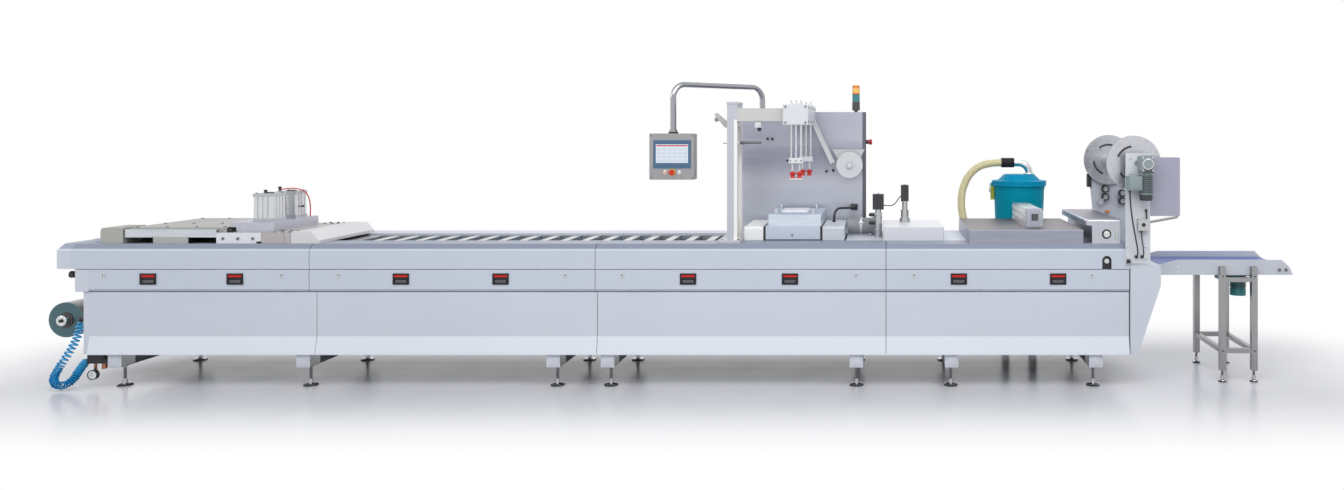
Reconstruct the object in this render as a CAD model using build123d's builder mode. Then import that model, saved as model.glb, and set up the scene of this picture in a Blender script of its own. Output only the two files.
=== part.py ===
"""Thermoforming packaging machine, in millimetres, +Z up, standing on the floor at Z = 0.

X runs along the machine from the film roll to the outfeed conveyor, and -Y is the operator's side.
"""

import os
from math import acos, atan2, cos, hypot, radians, sin, tan

from build123d import *

os.makedirs("parts", exist_ok=True)

# Datum: the floor under the middle of the machine, in the line's own lengths and from its centreline
datum_x = -4062
datum_y = -171

# Running and seating clearances
running_gap = 0.3
seam = 4

# Machine body across the line
body_half = 475
panel_thick = 40
panel_inset = 10
skirt_flare = 25
bed_half = 240
chain_width = 25
core_half = body_half - panel_thick
panel_half = body_half - panel_inset
skirt_half = panel_half + skirt_flare
web_half = bed_half - chain_width

# Machine body in height, from the floor to the deck
floor_gap = 230
lower_panel_height = 414
upper_panel_height = 148
rail_height = 165
bed_drop = 50
skirt_edge = 6
skirt_height = 120
upper_panel_bend = 18
rail_bevel = 42
rail_flat = body_half - rail_bevel
upper_panel_bottom = floor_gap + lower_panel_height + seam
rail_bottom = upper_panel_bottom + upper_panel_height + seam
deck_top = rail_bottom + rail_height
bed_top = deck_top - bed_drop

# Machine body along the line, with the joints between its modules
head_start = -10
rail_joints = (120, 1714, 3623, 5565, 7197)
upper_panel_start = 133
lower_panel_start = 183
lower_panel_joints = (240, 1761, 3636, 5565, 7190)
corner_round = 35
head_round = 75
nose_end = 7400
nose_slope = 153
nose_drop = 137
nose_face = 138
nose_edge = 14
nose_top = deck_top - nose_drop
conveyor_lap = 14
conveyor_start = nose_end - conveyor_lap

# Outfeed belt's height under the deck
belt_drop = 175
belt_top = deck_top - belt_drop
conveyor_rim = 42
conveyor_depth = 103
conveyor_top = belt_top + conveyor_rim
conveyor_bottom = conveyor_top - conveyor_depth
nose_notch_depth = 29

# Feet
foot_x = (408, 1668, 3340, 3703, 5366, 6004, 6968)
foot_y = 372
cross_tube = 90
cross_tube_inset = 22
foot_disc_radius = 47
foot_disc_height = 14
foot_cone_height = 32
foot_rod_radius = 9

# Latches and locks on the upper panels
latch_x = (640, 1220, 2328, 2993, 4244, 4924, 6051, 6713)
latch_width = 108
latch_height = 74
latch_rise = 86
latch_z = upper_panel_bottom + latch_rise
latch_proud = 6
latch_rim = 9
latch_depth = 14
lock_x = (339, 1527, 1908, 3423, 3803, 5365, 5752, 6940)
lock_drop = 40
lock_z = rail_bottom - lock_drop
lock_radius = 14
lock_proud = 5


def at_x(x):
    """Section plane across the line, facing the outfeed: its axes are Y and Z."""
    return Plane(origin=(datum_x + x, datum_y, 0), x_dir=(0, 1, 0), z_dir=(1, 0, 0))


def at_y(y):
    """Upright plane along the line, facing the operator: its axes are X and Z."""
    return Plane(origin=(datum_x, datum_y + y, 0), x_dir=(1, 0, 0), z_dir=(0, -1, 0))


def at_z(z):
    """Level plane, facing up: its axes are X and Y."""
    return Plane(origin=(datum_x, datum_y, z))


def place(x, y, z):
    """A point of the machine."""
    return Vector(datum_x + x, datum_y + y, z)


def upright(x, y):
    """The upright axis over a point of the floor."""
    return Axis((datum_x + x, datum_y + y, 0), (0, 0, 1))


def around(middle, width):
    """The two ends of a width about its middle."""
    return (middle - width / 2, middle + width / 2)


def outward(side, near, far):
    """Two distances from the centreline on one side, in rising order."""
    return tuple(sorted((side * near, side * far)))


def block(x, y, z, mode=Mode.ADD):
    """A block between two values each of X, Y and Z."""
    with BuildSketch(at_z(z[0])) as outline:
        with Locations(((x[0] + x[1]) / 2, (y[0] + y[1]) / 2)):
            Rectangle(x[1] - x[0], y[1] - y[0])
    extrude(outline.sketch, amount=z[1] - z[0], mode=mode)


def round_bar(plane, centre, radius, length, mode=Mode.ADD):
    """A round bar that starts on a plane and runs along its normal."""
    with BuildSketch(plane) as outline:
        with Locations(centre):
            Circle(radius)
    extrude(outline.sketch, amount=length, mode=mode)


def profile(plane, points, length, mode=Mode.ADD):
    """A straight-sided outline on a plane, extruded along its normal."""
    with BuildSketch(plane) as outline:
        with BuildLine():
            Polyline(*points, close=True)
        make_face()
    extrude(outline.sketch, amount=length, mode=mode)


def turned(x, y, points):
    """A round piece about the upright axis at X and Y, from its radii and heights."""
    with BuildSketch(at_y(y)) as outline:
        with BuildLine():
            Polyline(*[(x + radius, z) for radius, z in points], close=True)
        make_face()
    revolve(outline.sketch, axis=upright(x, y))


def cord_tube(points, diameter):
    """A cord along straight runs, joined by arcs as large as the runs allow."""
    route = [place(*point) for point in points]
    radii = []
    for a, b, c in zip(route, route[1:], route[2:]):
        turn = radians((b - a).get_angle(c - b))
        radii.append(0.45 * min((b - a).length, (c - b).length) / tan(turn / 2))
    with BuildLine() as path:
        FilletPolyline(*route, radius=radii)
    with BuildSketch(Plane(path.line @ 0, z_dir=path.line % 0)) as section:
        Circle(diameter / 2)
    sweep(section.sketch, path=path.line)
    length = sum(edge.length for edge in path.edges())
    print("arc radii", [round(radius) for radius in radii], "length", round(length))


def keep(piece, name):
    """Labels a finished piece and writes it."""
    piece.part.label = name
    export_step(piece.part, f"parts/{name}.step")


def spans(joints):
    """The stretches between joints, with a seam between neighbours."""
    ends = list(zip(joints[:-1], joints[1:]))
    return [(a + (seam / 2 if i else 0), b - seam / 2) for i, (a, b) in enumerate(ends)]


# Closed core of the machine, with the raised bed that carries the web
core_start = lower_panel_joints[0]
core_end = lower_panel_joints[-1]
with BuildPart() as machine_base:
    profile(
        at_x(core_start),
        [
            (-core_half, floor_gap),
            (core_half, floor_gap),
            (core_half, rail_bottom),
            (bed_half, rail_bottom),
            (bed_half, bed_top),
            (-bed_half, bed_top),
            (-bed_half, rail_bottom),
            (-core_half, rail_bottom),
        ],
        core_end - core_start,
    )
keep(machine_base, "machine_base")

# Square tubes across the machine under the core, closed by end caps
cross_tube_half = skirt_half - cross_tube_inset
with BuildPart() as cross_tubes:
    for x in foot_x:
        block(around(x, cross_tube), (-cross_tube_half, cross_tube_half), (floor_gap - cross_tube, floor_gap))
    fillet(cross_tubes.edges().filter_by(Axis.Y), 6)
    chamfer(cross_tubes.edges().filter_by(Axis.X), 3)
keep(cross_tubes, "cross_tubes")

# Socket of the trim hose on the back rail, and the arched recess round a bolt in the front rail
socket_x = 6275
socket_z = 880
socket_radius = 40
socket_length = 30
arch_x = 7039
arch_half = 31
arch_spring = 857
arch_depth = 14
arch_bolt_radius = 16
arch_bolt_proud = 12

# Rails along both sides, in modules, with a bevelled top edge
rail_section = [
    (bed_half, rail_bottom),
    (body_half, rail_bottom),
    (body_half, deck_top - rail_bevel),
    (body_half - rail_bevel, deck_top),
    (bed_half, deck_top),
]
with BuildPart() as side_rails:
    for side in (-1, 1):
        for a, b in spans(rail_joints):
            profile(at_x(a), [(side * y, z) for y, z in rail_section], b - a)
    round_bar(at_y(body_half + socket_length), (socket_x, socket_z), socket_radius, socket_length)
    arch_floor = arch_depth - body_half
    block(around(arch_x, 2 * arch_half), (-body_half, arch_floor), (rail_bottom, arch_spring), Mode.SUBTRACT)
    round_bar(at_y(arch_floor), (arch_x, arch_spring), arch_half, arch_depth, Mode.SUBTRACT)
    round_bar(at_y(arch_floor), (arch_x, arch_spring - 4), arch_bolt_radius, arch_bolt_proud)
keep(side_rails, "side_rails")

# Upper panels carry the latches, and their lower edge bends in
upper_section = [
    (core_half, rail_bottom - seam),
    (body_half, rail_bottom - seam),
    (body_half, upper_panel_bottom + upper_panel_bend),
    (body_half - upper_panel_bend, upper_panel_bottom),
    (core_half, upper_panel_bottom),
]
upper_joints = (core_start,) + rail_joints[1:-1] + (core_end,)
latch_pocket_z = around(latch_z, latch_height - 2 * latch_rim)
with BuildPart() as upper_panels:
    for side in (-1, 1):
        for a, b in spans(upper_joints):
            profile(at_x(a), [(side * y, z) for y, z in upper_section], b - a)
        for x in latch_x:
            pocket_x = around(x, latch_width - 2 * latch_rim)
            pocket_y = outward(side, body_half - latch_depth, body_half)
            block(pocket_x, pocket_y, latch_pocket_z, Mode.SUBTRACT)
keep(upper_panels, "upper_panels")

# Lower panels flare out into a skirt
lower_section = [
    (core_half, upper_panel_bottom - seam),
    (panel_half, upper_panel_bottom - seam),
    (panel_half, floor_gap + skirt_height),
    (skirt_half, floor_gap + skirt_edge),
    (skirt_half, floor_gap),
    (core_half, floor_gap),
]
with BuildPart() as lower_panels:
    for side in (-1, 1):
        for a, b in spans(lower_panel_joints):
            profile(at_x(a), [(side * y, z) for y, z in lower_section], b - a)
keep(lower_panels, "lower_panels")

# Latches: a raised frame round the sunk pocket, with the strip that releases it, and the round locks
with BuildPart() as panel_latches:
    for side in (-1, 1):
        for x in latch_x:
            frame_y = outward(side, body_half, body_half + latch_proud)
            pocket_x = around(x, latch_width - 2 * latch_rim)
            block(around(x, latch_width), frame_y, around(latch_z, latch_height))
            block(pocket_x, frame_y, latch_pocket_z, Mode.SUBTRACT)
            strip_y = outward(side, body_half, body_half + latch_proud * 0.7)
            block(pocket_x, strip_y, (latch_z + 4, latch_pocket_z[1]))
        for x in lock_x:
            lock_face = max(side * body_half, side * (body_half + lock_proud))
            round_bar(at_y(lock_face), (x, lock_z), lock_radius, lock_proud)
keep(panel_latches, "panel_latches")

# Infeed end: the head that joins the rails, the panels under it, rounded into the sides, and a black knob
with BuildPart() as infeed_head:
    block((head_start, rail_joints[0]), (-body_half, body_half), (rail_bottom, deck_top))
    fillet(infeed_head.edges().filter_by(Axis.Z).group_by(Axis.X)[0], head_round)
    head_top = infeed_head.faces().sort_by(Axis.Z)[-1]
    chamfer(head_top.edges().sort_by(Axis.X)[:-1], rail_bevel)
with BuildPart() as upper_end:
    block((upper_panel_start, core_start), (-body_half, body_half), (upper_panel_bottom, rail_bottom - seam))
    fillet(upper_end.edges().filter_by(Axis.Z).group_by(Axis.X)[0], corner_round)
with BuildPart() as lower_end:
    block((lower_panel_start, core_start), (-panel_half, panel_half), (floor_gap, upper_panel_bottom - seam))
    fillet(lower_end.edges().filter_by(Axis.Z).group_by(Axis.X)[0], corner_round)
hose_elbow = (90, -352)
elbow_z = 425
elbow_drop = 20
elbow_radius = 12
end_knob = (-400, upper_panel_bottom + 106)
end_knob_radius = 23
end_knob_width = 25
end_knob_reach = 63
with BuildPart() as infeed_end:
    add(infeed_head.part)
    add(upper_end.part)
    add(lower_end.part)
    pipe_place = (hose_elbow[1], elbow_z + elbow_drop)
    round_bar(at_x(hose_elbow[0]), pipe_place, elbow_radius, lower_panel_start - hose_elbow[0])
    round_bar(at_z(elbow_z), hose_elbow, elbow_radius, elbow_drop + elbow_radius)
    round_bar(at_x(upper_panel_start - end_knob_reach), end_knob, end_knob_radius, end_knob_width)
    round_bar(at_x(upper_panel_start - end_knob_reach), end_knob, end_knob_radius / 3, end_knob_reach)
keep(infeed_end, "infeed_end")

# Nose that closes the outfeed end, cut back for the conveyor
conveyor_half = 258
notch_margin = 20
nose_start = rail_joints[-1]
with BuildPart() as end_nose:
    profile(
        at_y(body_half),
        [
            (nose_start, floor_gap),
            (nose_end - nose_slope, floor_gap),
            (nose_end, nose_top - nose_face),
            (nose_end, nose_top),
            (nose_start, nose_top),
        ],
        2 * body_half,
    )
    fillet(end_nose.edges().filter_by(Axis.Y).group_by(Axis.X)[-1], nose_edge)
    notch_x = (conveyor_start - running_gap, nose_end)
    notch_y = (-conveyor_half - notch_margin, conveyor_half + notch_margin)
    block(notch_x, notch_y, (conveyor_bottom - nose_notch_depth, nose_top), Mode.SUBTRACT)
    inside = panel_half - corner_round
    block((core_end, nose_start), (-inside, inside), (floor_gap, upper_panel_bottom))
keep(end_nose, "end_nose")

# Covers over the bed where the web runs hidden, and the low plate over the film's way in
cover_thick = 8
cover_start = 5290
entry_cover_end = 280
exit_cover_inset = 10
entry_plate_x = (145, 260)
entry_plate_half = 300
entry_plate_thick = 20
with BuildPart() as bed_covers:
    for x in ((rail_joints[0] + seam, entry_cover_end), (cover_start, core_end - exit_cover_inset)):
        block(x, (-bed_half, bed_half), (deck_top - cover_thick, deck_top))
    block(entry_plate_x, (-entry_plate_half, entry_plate_half), (deck_top, deck_top + entry_plate_thick))
keep(bed_covers, "bed_covers")

# The two chain guides beside the web, each a channel open to the top
guide_drop = 10
guide_top = deck_top - guide_drop
guide_wall = 6
guide_depth = 8
guide_end = cover_start - seam
with BuildPart() as chain_guides:
    for side in (-1, 1):
        block((core_start, guide_end), outward(side, web_half, bed_half), (bed_top, guide_top))
        groove = outward(side, web_half + guide_wall, bed_half - guide_wall)
        block((core_start, guide_end), groove, (guide_top - guide_depth, guide_top), Mode.SUBTRACT)
keep(chain_guides, "chain_guides")

# Formed web in the loading zone: one row of tapered pockets across the web
web_start = 1765
web_end = 4560
web_lip = 2
web_top = guide_top - web_lip
pocket_pitch = 146
pocket_length = 92
pocket_depth = 34
pocket_half = 190
pocket_corner = 14
pocket_draft = 8
web_margin = 15
pocket_count = int((web_end - web_start - 2 * web_margin) // pocket_pitch)
first_pocket = (web_start + web_end - (pocket_count - 1) * pocket_pitch) / 2
with BuildPart() as formed_web:
    web_edge = web_half - running_gap
    block((web_start, web_end), (-web_edge, web_edge), (bed_top, web_top))
    with BuildSketch(at_z(web_top)) as mouths:
        with Locations(*[(first_pocket + i * pocket_pitch, 0) for i in range(pocket_count)]):
            RectangleRounded(pocket_length, 2 * pocket_half, pocket_corner)
    extrude(mouths.sketch, amount=-pocket_depth, taper=pocket_draft, mode=Mode.SUBTRACT)
keep(formed_web, "formed_web")

# Film roll under the infeed end, on its core
roll_centre = (-125, 410)
roll_radius = 122
roll_half = 210
core_radius = 50
core_wall = 8
core_proud = 6
core_recess = 4
spindle_radius = 20
with BuildPart() as film_roll:
    core_half_length = roll_half + core_proud
    round_bar(at_y(roll_half), roll_centre, roll_radius, 2 * roll_half)
    round_bar(at_y(core_half_length), roll_centre, core_radius, 2 * core_half_length)
    for y in (core_half_length, -core_half_length + core_recess):
        round_bar(at_y(y), roll_centre, core_radius - core_wall, core_recess, Mode.SUBTRACT)
    bore = spindle_radius + running_gap
    round_bar(at_y(core_half_length), roll_centre, bore, 2 * core_half_length, Mode.SUBTRACT)
keep(film_roll, "film_roll")

# Roll stand: a plate on the infeed end behind the roll, and the spindle it carries, with a hub at the front
stand_gap = 20
plate_thick = 20
plate_inner = roll_half + core_proud + stand_gap
hub_radius = 37
hub_length = 38
hub_bolt_radius = 11
hub_bolt_proud = 8
plate_arm = 55
stand_plate = [
    (lower_panel_start, roll_centre[1] + plate_arm),
    (roll_centre[0] - plate_arm, roll_centre[1] + plate_arm),
    (roll_centre[0] - plate_arm, roll_centre[1] - plate_arm),
    (lower_panel_start, roll_centre[1] - plate_arm),
]
with BuildPart() as roll_stand:
    profile(at_y(plate_inner + plate_thick), stand_plate, plate_thick)
    fillet(roll_stand.edges().filter_by(Axis.Y).group_by(Axis.X)[0], 40)
    hub_face = -core_half_length - running_gap
    round_bar(at_y(plate_inner), roll_centre, spindle_radius, plate_inner - hub_face)
    round_bar(at_y(plate_inner), roll_centre, core_radius, stand_gap - running_gap)
    round_bar(at_y(hub_face), roll_centre, hub_radius, hub_length)
    fillet(roll_stand.edges().filter_by(GeomType.CIRCLE).sort_by(Axis.Y)[0], 6)
    round_bar(at_y(hub_face - hub_length), roll_centre, hub_bolt_radius, hub_bolt_proud)
keep(roll_stand, "roll_stand")

# Air preparation unit under the infeed end: filter bowls and the pressure gauge hang under its block
unit_x = (193, 338)
unit_depth = 85
unit_inset = 5
unit_y = (unit_inset - core_half, unit_inset - core_half + unit_depth)
unit_height = 72
unit_bottom = floor_gap - unit_height
bowl_radius = 15
bowl_length = 40
drain_radius = 12
drain_length = 30
gauge_x = unit_x[0] + 45
gauge_z = unit_bottom - 74
gauge_radius = 33
gauge_thick = 24
inlet_reach = 26
inlet_z = unit_bottom + 14
with BuildPart() as air_unit:
    block(unit_x, unit_y, (unit_bottom, floor_gap))
    fillet(air_unit.edges().filter_by(Axis.Z), 8)
    bowl_y = unit_y[0] + 30
    round_bar(at_z(unit_bottom - bowl_length), (unit_x[1] - 48, bowl_y), bowl_radius, bowl_length)
    round_bar(at_z(unit_bottom - drain_length), (unit_x[1] - 16, bowl_y), drain_radius, drain_length)
    gauge_back = unit_y[0] + 14
    block(around(gauge_x, 12), (gauge_back, gauge_back + 14), (gauge_z, unit_bottom))
    round_bar(at_y(gauge_back), (gauge_x, gauge_z), gauge_radius, gauge_thick)
    round_bar(at_x(unit_x[0] - inlet_reach), (unit_y[0] + 36, inlet_z), 12, inlet_reach)
keep(air_unit, "air_unit")

# Forming station: side block, heating frame, clamp plates
station_inset = 8
station_front = station_inset - rail_flat
station_back = 300
side_block_x = (282, 432)
side_block_top = deck_top + 106
frame_x = (448, 1060)
frame_top = deck_top + 94
frame_notch = 188
frame_notch_depth = 150
frame_notch_top = deck_top + 41
clamp_x = (1061, 1362)
clamp_top = deck_top + 73
plate_gap = 2
foot_plate_end = 1516
toe_width = 32
toe_height = 14
shoulder_end = 1560
with BuildPart() as forming_blocks:
    block(side_block_x, (station_front, -web_half), (deck_top, side_block_top))
    corners = forming_blocks.edges().filter_by(Axis.Y).sort_by(Axis.Z)[-2:].sort_by(Axis.X)
    fillet(corners[0], 26)
    block(clamp_x, (station_front, station_back), (deck_top, clamp_top))
    toe = (clamp_x[1] - toe_width, clamp_x[1])
    block(toe, (station_front, station_front + 60), (deck_top, deck_top + toe_height), Mode.SUBTRACT)
    for x in ((clamp_x[1] + plate_gap, foot_plate_end), (foot_plate_end + plate_gap, shoulder_end)):
        block(x, (station_front, station_back), (deck_top, clamp_top))
keep(forming_blocks, "forming_blocks")

with BuildPart() as forming_frame:
    block(frame_x, (station_front, station_back), (deck_top, frame_top))
    for x in ((frame_x[0], frame_x[0] + frame_notch), (frame_x[1] - frame_notch, frame_x[1])):
        notch_y = (station_front, station_front + frame_notch_depth)
        block(x, notch_y, (deck_top, frame_notch_top), Mode.SUBTRACT)
keep(forming_frame, "forming_frame")

# Heating plate on the frame, with the web's guide rod beside the frame
preheat_thick = 12
guide_radius = 7
guide_z = frame_top - 11
heater_x = (470, 1120)
heater_inset = 20
with BuildPart() as preheat_plate:
    block(heater_x, (station_front + heater_inset, station_back), (frame_top, frame_top + preheat_thick))
    fillet(preheat_plate.edges().filter_by(Axis.Z), 10)
    guide_x = frame_x[0] - guide_radius - running_gap
    round_bar(at_y(station_back), (guide_x, guide_z), guide_radius, station_back - station_front - 10)
keep(preheat_plate, "preheat_plate")

end_cover_x = (shoulder_end + plate_gap, 1752)
end_cover_lip = 20
end_cover_slope = 52
end_cover_rise = 6
with BuildPart() as forming_end_cover:
    profile(
        at_y(station_back),
        [
            (end_cover_x[0], deck_top),
            (end_cover_x[1], deck_top),
            (end_cover_x[1], deck_top + end_cover_lip),
            (end_cover_x[1] - end_cover_slope, clamp_top + end_cover_rise),
            (end_cover_x[0], clamp_top + end_cover_rise),
        ],
        station_back - station_front,
    )
    fillet(forming_end_cover.edges().filter_by(Axis.Y).group_by(Axis.Z)[-1], 10)
keep(forming_end_cover, "forming_end_cover")

# Beam across the clamp, and the two square air cylinders that stand on it
beam_x = (1133, 1428)
beam_y = (station_front + 35, 144)
beam_height = 66
beam_top = clamp_top + beam_height
beam_step = 37
beam_step_height = 34
with BuildPart() as forming_beam:
    block(beam_x, beam_y, (clamp_top, beam_top))
    step_z = (clamp_top, clamp_top + beam_step_height)
    block((beam_x[0], beam_x[0] + beam_step), beam_y, step_z, Mode.SUBTRACT)
    fillet(forming_beam.edges().filter_by(Axis.Z), 5)
keep(forming_beam, "forming_beam")

cylinder_side = 142
cylinder_x = 1317
cylinder_y = (-259, -2)
cylinder_height = 190
cap_height = 22
barrel_inset = 2
flute_step = 34
flute_width = 12
flute_depth = 8
cylinder_top = beam_top + cylinder_height
red_port = (1262, -50)
fitting_radius = 9
port_height = 22
second_port_height = 12
side_port_rise = 80
with BuildPart() as air_cylinders:
    half = cylinder_side / 2
    for y in cylinder_y:
        for z in (beam_top, cylinder_top - cap_height):
            block(around(cylinder_x, cylinder_side), around(y, cylinder_side), (z, z + cap_height))
        with BuildSketch(at_z(beam_top + cap_height)) as barrel:
            with Locations((cylinder_x, y)):
                RectangleRounded(cylinder_side - 2 * barrel_inset, cylinder_side - 2 * barrel_inset, 8)
                with PolarLocations(half - barrel_inset, 4):
                    with Locations((0, -flute_step), (0, 0), (0, flute_step)):
                        SlotOverall(2 * flute_depth, flute_width, mode=Mode.SUBTRACT)
        extrude(barrel.sketch, amount=cylinder_height - 2 * cap_height)
    round_bar(at_z(cylinder_top), red_port, fitting_radius, port_height)
    round_bar(at_z(cylinder_top), (cylinder_x - 27, cylinder_y[0]), fitting_radius, second_port_height)
    flute_floor = cylinder_x + half - barrel_inset - flute_depth
    round_bar(at_x(flute_floor - 2), (cylinder_y[1], beam_top + side_port_rise), fitting_radius - 2, 30)
keep(air_cylinders, "air_cylinders")

# Gantry post on its foot, with the guide rod through it and the lever at its left
gantry_foot_x = (4430, 4584)
gantry_foot_y = (-420, -30)
gantry_foot_height = 20
post_x = (4481, 4550)
post_y = (-330, -60)
post_top = deck_top + 940
arm_depth = 88
arm_drop = 28
arm_z = (post_top - arm_drop - arm_depth, post_top - arm_drop)
guide_rod_y = -200
guide_rod_z = arm_z[0] - 148
guide_rod_radius = 9
guide_rod_length = 266
guide_rod_start = post_x[0] - 47
guide_collar_length = 26
post_recess = 20
post_wall = 40
cap_thick = 16
cap_lip = 3
lever_y = -200
lever_thick = 14
lever = [
    (post_x[0], arm_z[0] - 38),
    (post_x[0] - 32, arm_z[0] - 46),
    (post_x[0] - 100, arm_z[0] + 34),
    (post_x[0] - 104, arm_z[0] + 54),
    (post_x[0] - 84, arm_z[0] + 58),
    (post_x[0], arm_z[0] - 16),
]
with BuildPart() as gantry_post:
    base_top = deck_top + gantry_foot_height
    block(gantry_foot_x, gantry_foot_y, (deck_top, base_top))
    fillet(gantry_post.edges().filter_by(Axis.Z), 12)
    block(post_x, post_y, (base_top, post_top))
    recess_x = (post_x[1] - post_recess, post_x[1])
    recess_y = (post_y[0] + post_wall, post_y[1] - post_wall)
    block(recess_x, recess_y, (base_top, arm_z[0] - post_wall), Mode.SUBTRACT)
    cap_x = (post_x[0] - cap_lip, post_x[1] + cap_lip)
    block(cap_x, (post_y[0] - cap_lip, post_y[1] + cap_lip), (post_top, post_top + cap_thick))
    round_bar(at_x(guide_rod_start), (guide_rod_y, guide_rod_z), guide_rod_radius, guide_rod_length)
    collar_start = post_x[1] + 10
    round_bar(at_x(collar_start), (guide_rod_y, guide_rod_z), guide_rod_radius + 5, guide_collar_length)
    profile(at_y(lever_y), lever, lever_thick)
keep(gantry_post, "gantry_post")

# Arm of the gantry: a beam from the post to the block that guides the grippers' rods
beam_end = 4866
arm_width = 90
gantry_block_x = (beam_end, 5038)
gantry_block_half = 380
gantry_block_z = (post_top - 143, post_top - 1)
gripper_rod_radius = 6
gripper_places = ((4952, -330), (4992, 45))
gripper_rod_pitch = 33
gripper_rod_dx = (-gripper_rod_pitch, 0, gripper_rod_pitch)
with BuildPart() as gantry_beam:
    block((post_x[1], beam_end), (post_y[0] + 2, post_y[0] + 2 + arm_width), arm_z)
    block(gantry_block_x, (-gantry_block_half, gantry_block_half), gantry_block_z)
    chamfer(gantry_beam.faces().sort_by(Axis.Y)[0].edges(), 4)
    for x, y in gripper_places:
        for dx in gripper_rod_dx:
            hole = gripper_rod_radius + running_gap
            depth = gantry_block_z[1] - gantry_block_z[0]
            round_bar(at_z(gantry_block_z[0]), (x + dx, y), hole, depth, Mode.SUBTRACT)
keep(gantry_beam, "gantry_beam")

# Label grippers: a head on three rods, with two bellows suction cups under it
gripper_drop = 225
gripper_head_height = 34
gripper_head_top = gantry_block_z[0] - gripper_drop
gripper_head_z = (gripper_head_top - gripper_head_height, gripper_head_top)
gripper_head_x = 96
gripper_head_y = 52
gripper_rod_top = gantry_block_z[1] + 26
cup_z = gripper_head_z[0] - 82
cup_pitch = 48
cup_radius = 22
cup_section = [
    (0, gripper_head_z[0]),
    (7, gripper_head_z[0]),
    (7, cup_z + 16),
    (11, cup_z + 16),
    (14, cup_z + 4),
    (11, cup_z - 4),
    (15, cup_z - 12),
    (cup_radius, cup_z - 20),
    (0, cup_z - 20),
]
with BuildPart() as label_gripper:
    for x, y in gripper_places:
        block(around(x, gripper_head_x), around(y, gripper_head_y), gripper_head_z)
        for dx in gripper_rod_dx:
            rod_length = gripper_rod_top - gripper_head_z[1]
            round_bar(at_z(gripper_head_z[1]), (x + dx, y), gripper_rod_radius, rod_length)
        for dx in around(0, cup_pitch):
            turned(x + dx, y, cup_section)
keep(label_gripper, "label_gripper")

# Cabinet panel along the back, with the swing arm's socket on top, a hose fitting on its face and a sunk door
cabinet_x = (4485, 5419)
cabinet_depth = 90
cabinet_inset = 5
cabinet_y = (body_half - cabinet_inset - cabinet_depth, body_half - cabinet_inset)
cabinet_foot = 20
cabinet_height = 898
cabinet_top = deck_top + cabinet_height
cabinet_frame = 26
door_recess = 3
arm_foot = (4633, (cabinet_y[0] + cabinet_y[1]) / 2)
foot_flange_radius = 44
foot_flange_height = 8
collar_height = 30
collar_radius = 30
hose_fitting = (5330, 1150)
fitting_bore = 15
hose_fitting_length = 36
with BuildPart() as back_cabinet:
    block(cabinet_x, (cabinet_y[0], rail_flat), (deck_top, cabinet_top))
    block(cabinet_x, (rail_flat, cabinet_y[1]), (deck_top + cabinet_foot, cabinet_top))
    fillet(back_cabinet.edges().filter_by(Axis.Z).group_by(Axis.Y)[0], 8)
    door_x = (cabinet_x[0] + cabinet_frame, cabinet_x[1] - cabinet_frame)
    door_z = (deck_top + cabinet_frame, cabinet_top - cabinet_frame)
    block(door_x, (cabinet_y[1] - door_recess, cabinet_y[1]), door_z, Mode.SUBTRACT)
    round_bar(at_z(cabinet_top), arm_foot, foot_flange_radius, foot_flange_height)
    round_bar(at_z(cabinet_top), arm_foot, collar_radius, collar_height)
    round_bar(at_y(cabinet_y[0]), hose_fitting, fitting_bore, hose_fitting_length)
keep(back_cabinet, "back_cabinet")

# Signal tower on the cabinet, and the stop button on its end
tower_inset = 76
tower_place = (cabinet_x[1] - tower_inset, arm_foot[1])
tower_radius = 30
tower_socket = 12
tower_base_height = 64
lens_height = 54
dome_height = 72
with BuildPart() as signal_tower:
    base_z = cabinet_top + tower_socket
    lens_z = base_z + tower_base_height
    dome_z = lens_z + lens_height
    round_bar(at_z(cabinet_top), tower_place, 14, tower_socket)
    round_bar(at_z(base_z), tower_place, tower_radius, tower_base_height)
    round_bar(at_z(lens_z), tower_place, tower_radius - 4, lens_height + 2)
    round_bar(at_z(lens_z + 2), tower_place, tower_radius - 1, lens_height - 2)
    round_bar(at_z(dome_z + 2), tower_place, tower_radius - 1, dome_height)
    fillet(signal_tower.edges().filter_by(GeomType.CIRCLE).sort_by(Axis.Z)[-1], 8)
keep(signal_tower, "signal_tower")

stop_drop = 226
stop_z = cabinet_top - stop_drop
stop_shank = 24
stop_radius = 21
stop_head = 22
with BuildPart() as cabinet_stop:
    round_bar(at_x(cabinet_x[1]), (arm_foot[1], stop_z), stop_radius - 5, stop_shank)
    round_bar(at_x(cabinet_x[1] + stop_shank), (arm_foot[1], stop_z), stop_radius, stop_head)
    fillet(cabinet_stop.edges().filter_by(GeomType.CIRCLE).sort_by(Axis.X)[-1], 8)
keep(cabinet_stop, "cabinet_stop")

# Label reel that turns on a pin before the cabinet's face
reel_drop = 395
reel_centre = (5297, cabinet_top - reel_drop)
reel_radius = 98
reel_roll_radius = 88
reel_gap = 35
reel_width = 55
reel_flange = 4
reel_y = (cabinet_y[0] - reel_gap - reel_width, cabinet_y[0] - reel_gap)
reel_pin_radius = 12
with BuildPart() as label_reel:
    round_bar(at_y(reel_y[1]), reel_centre, reel_roll_radius, reel_width)
    for y in (reel_y[0] + reel_flange, reel_y[1]):
        round_bar(at_y(y), reel_centre, reel_radius, reel_flange)
    round_bar(at_y(reel_y[1]), reel_centre, reel_pin_radius + running_gap, reel_width, Mode.SUBTRACT)
keep(label_reel, "label_reel")

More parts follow.
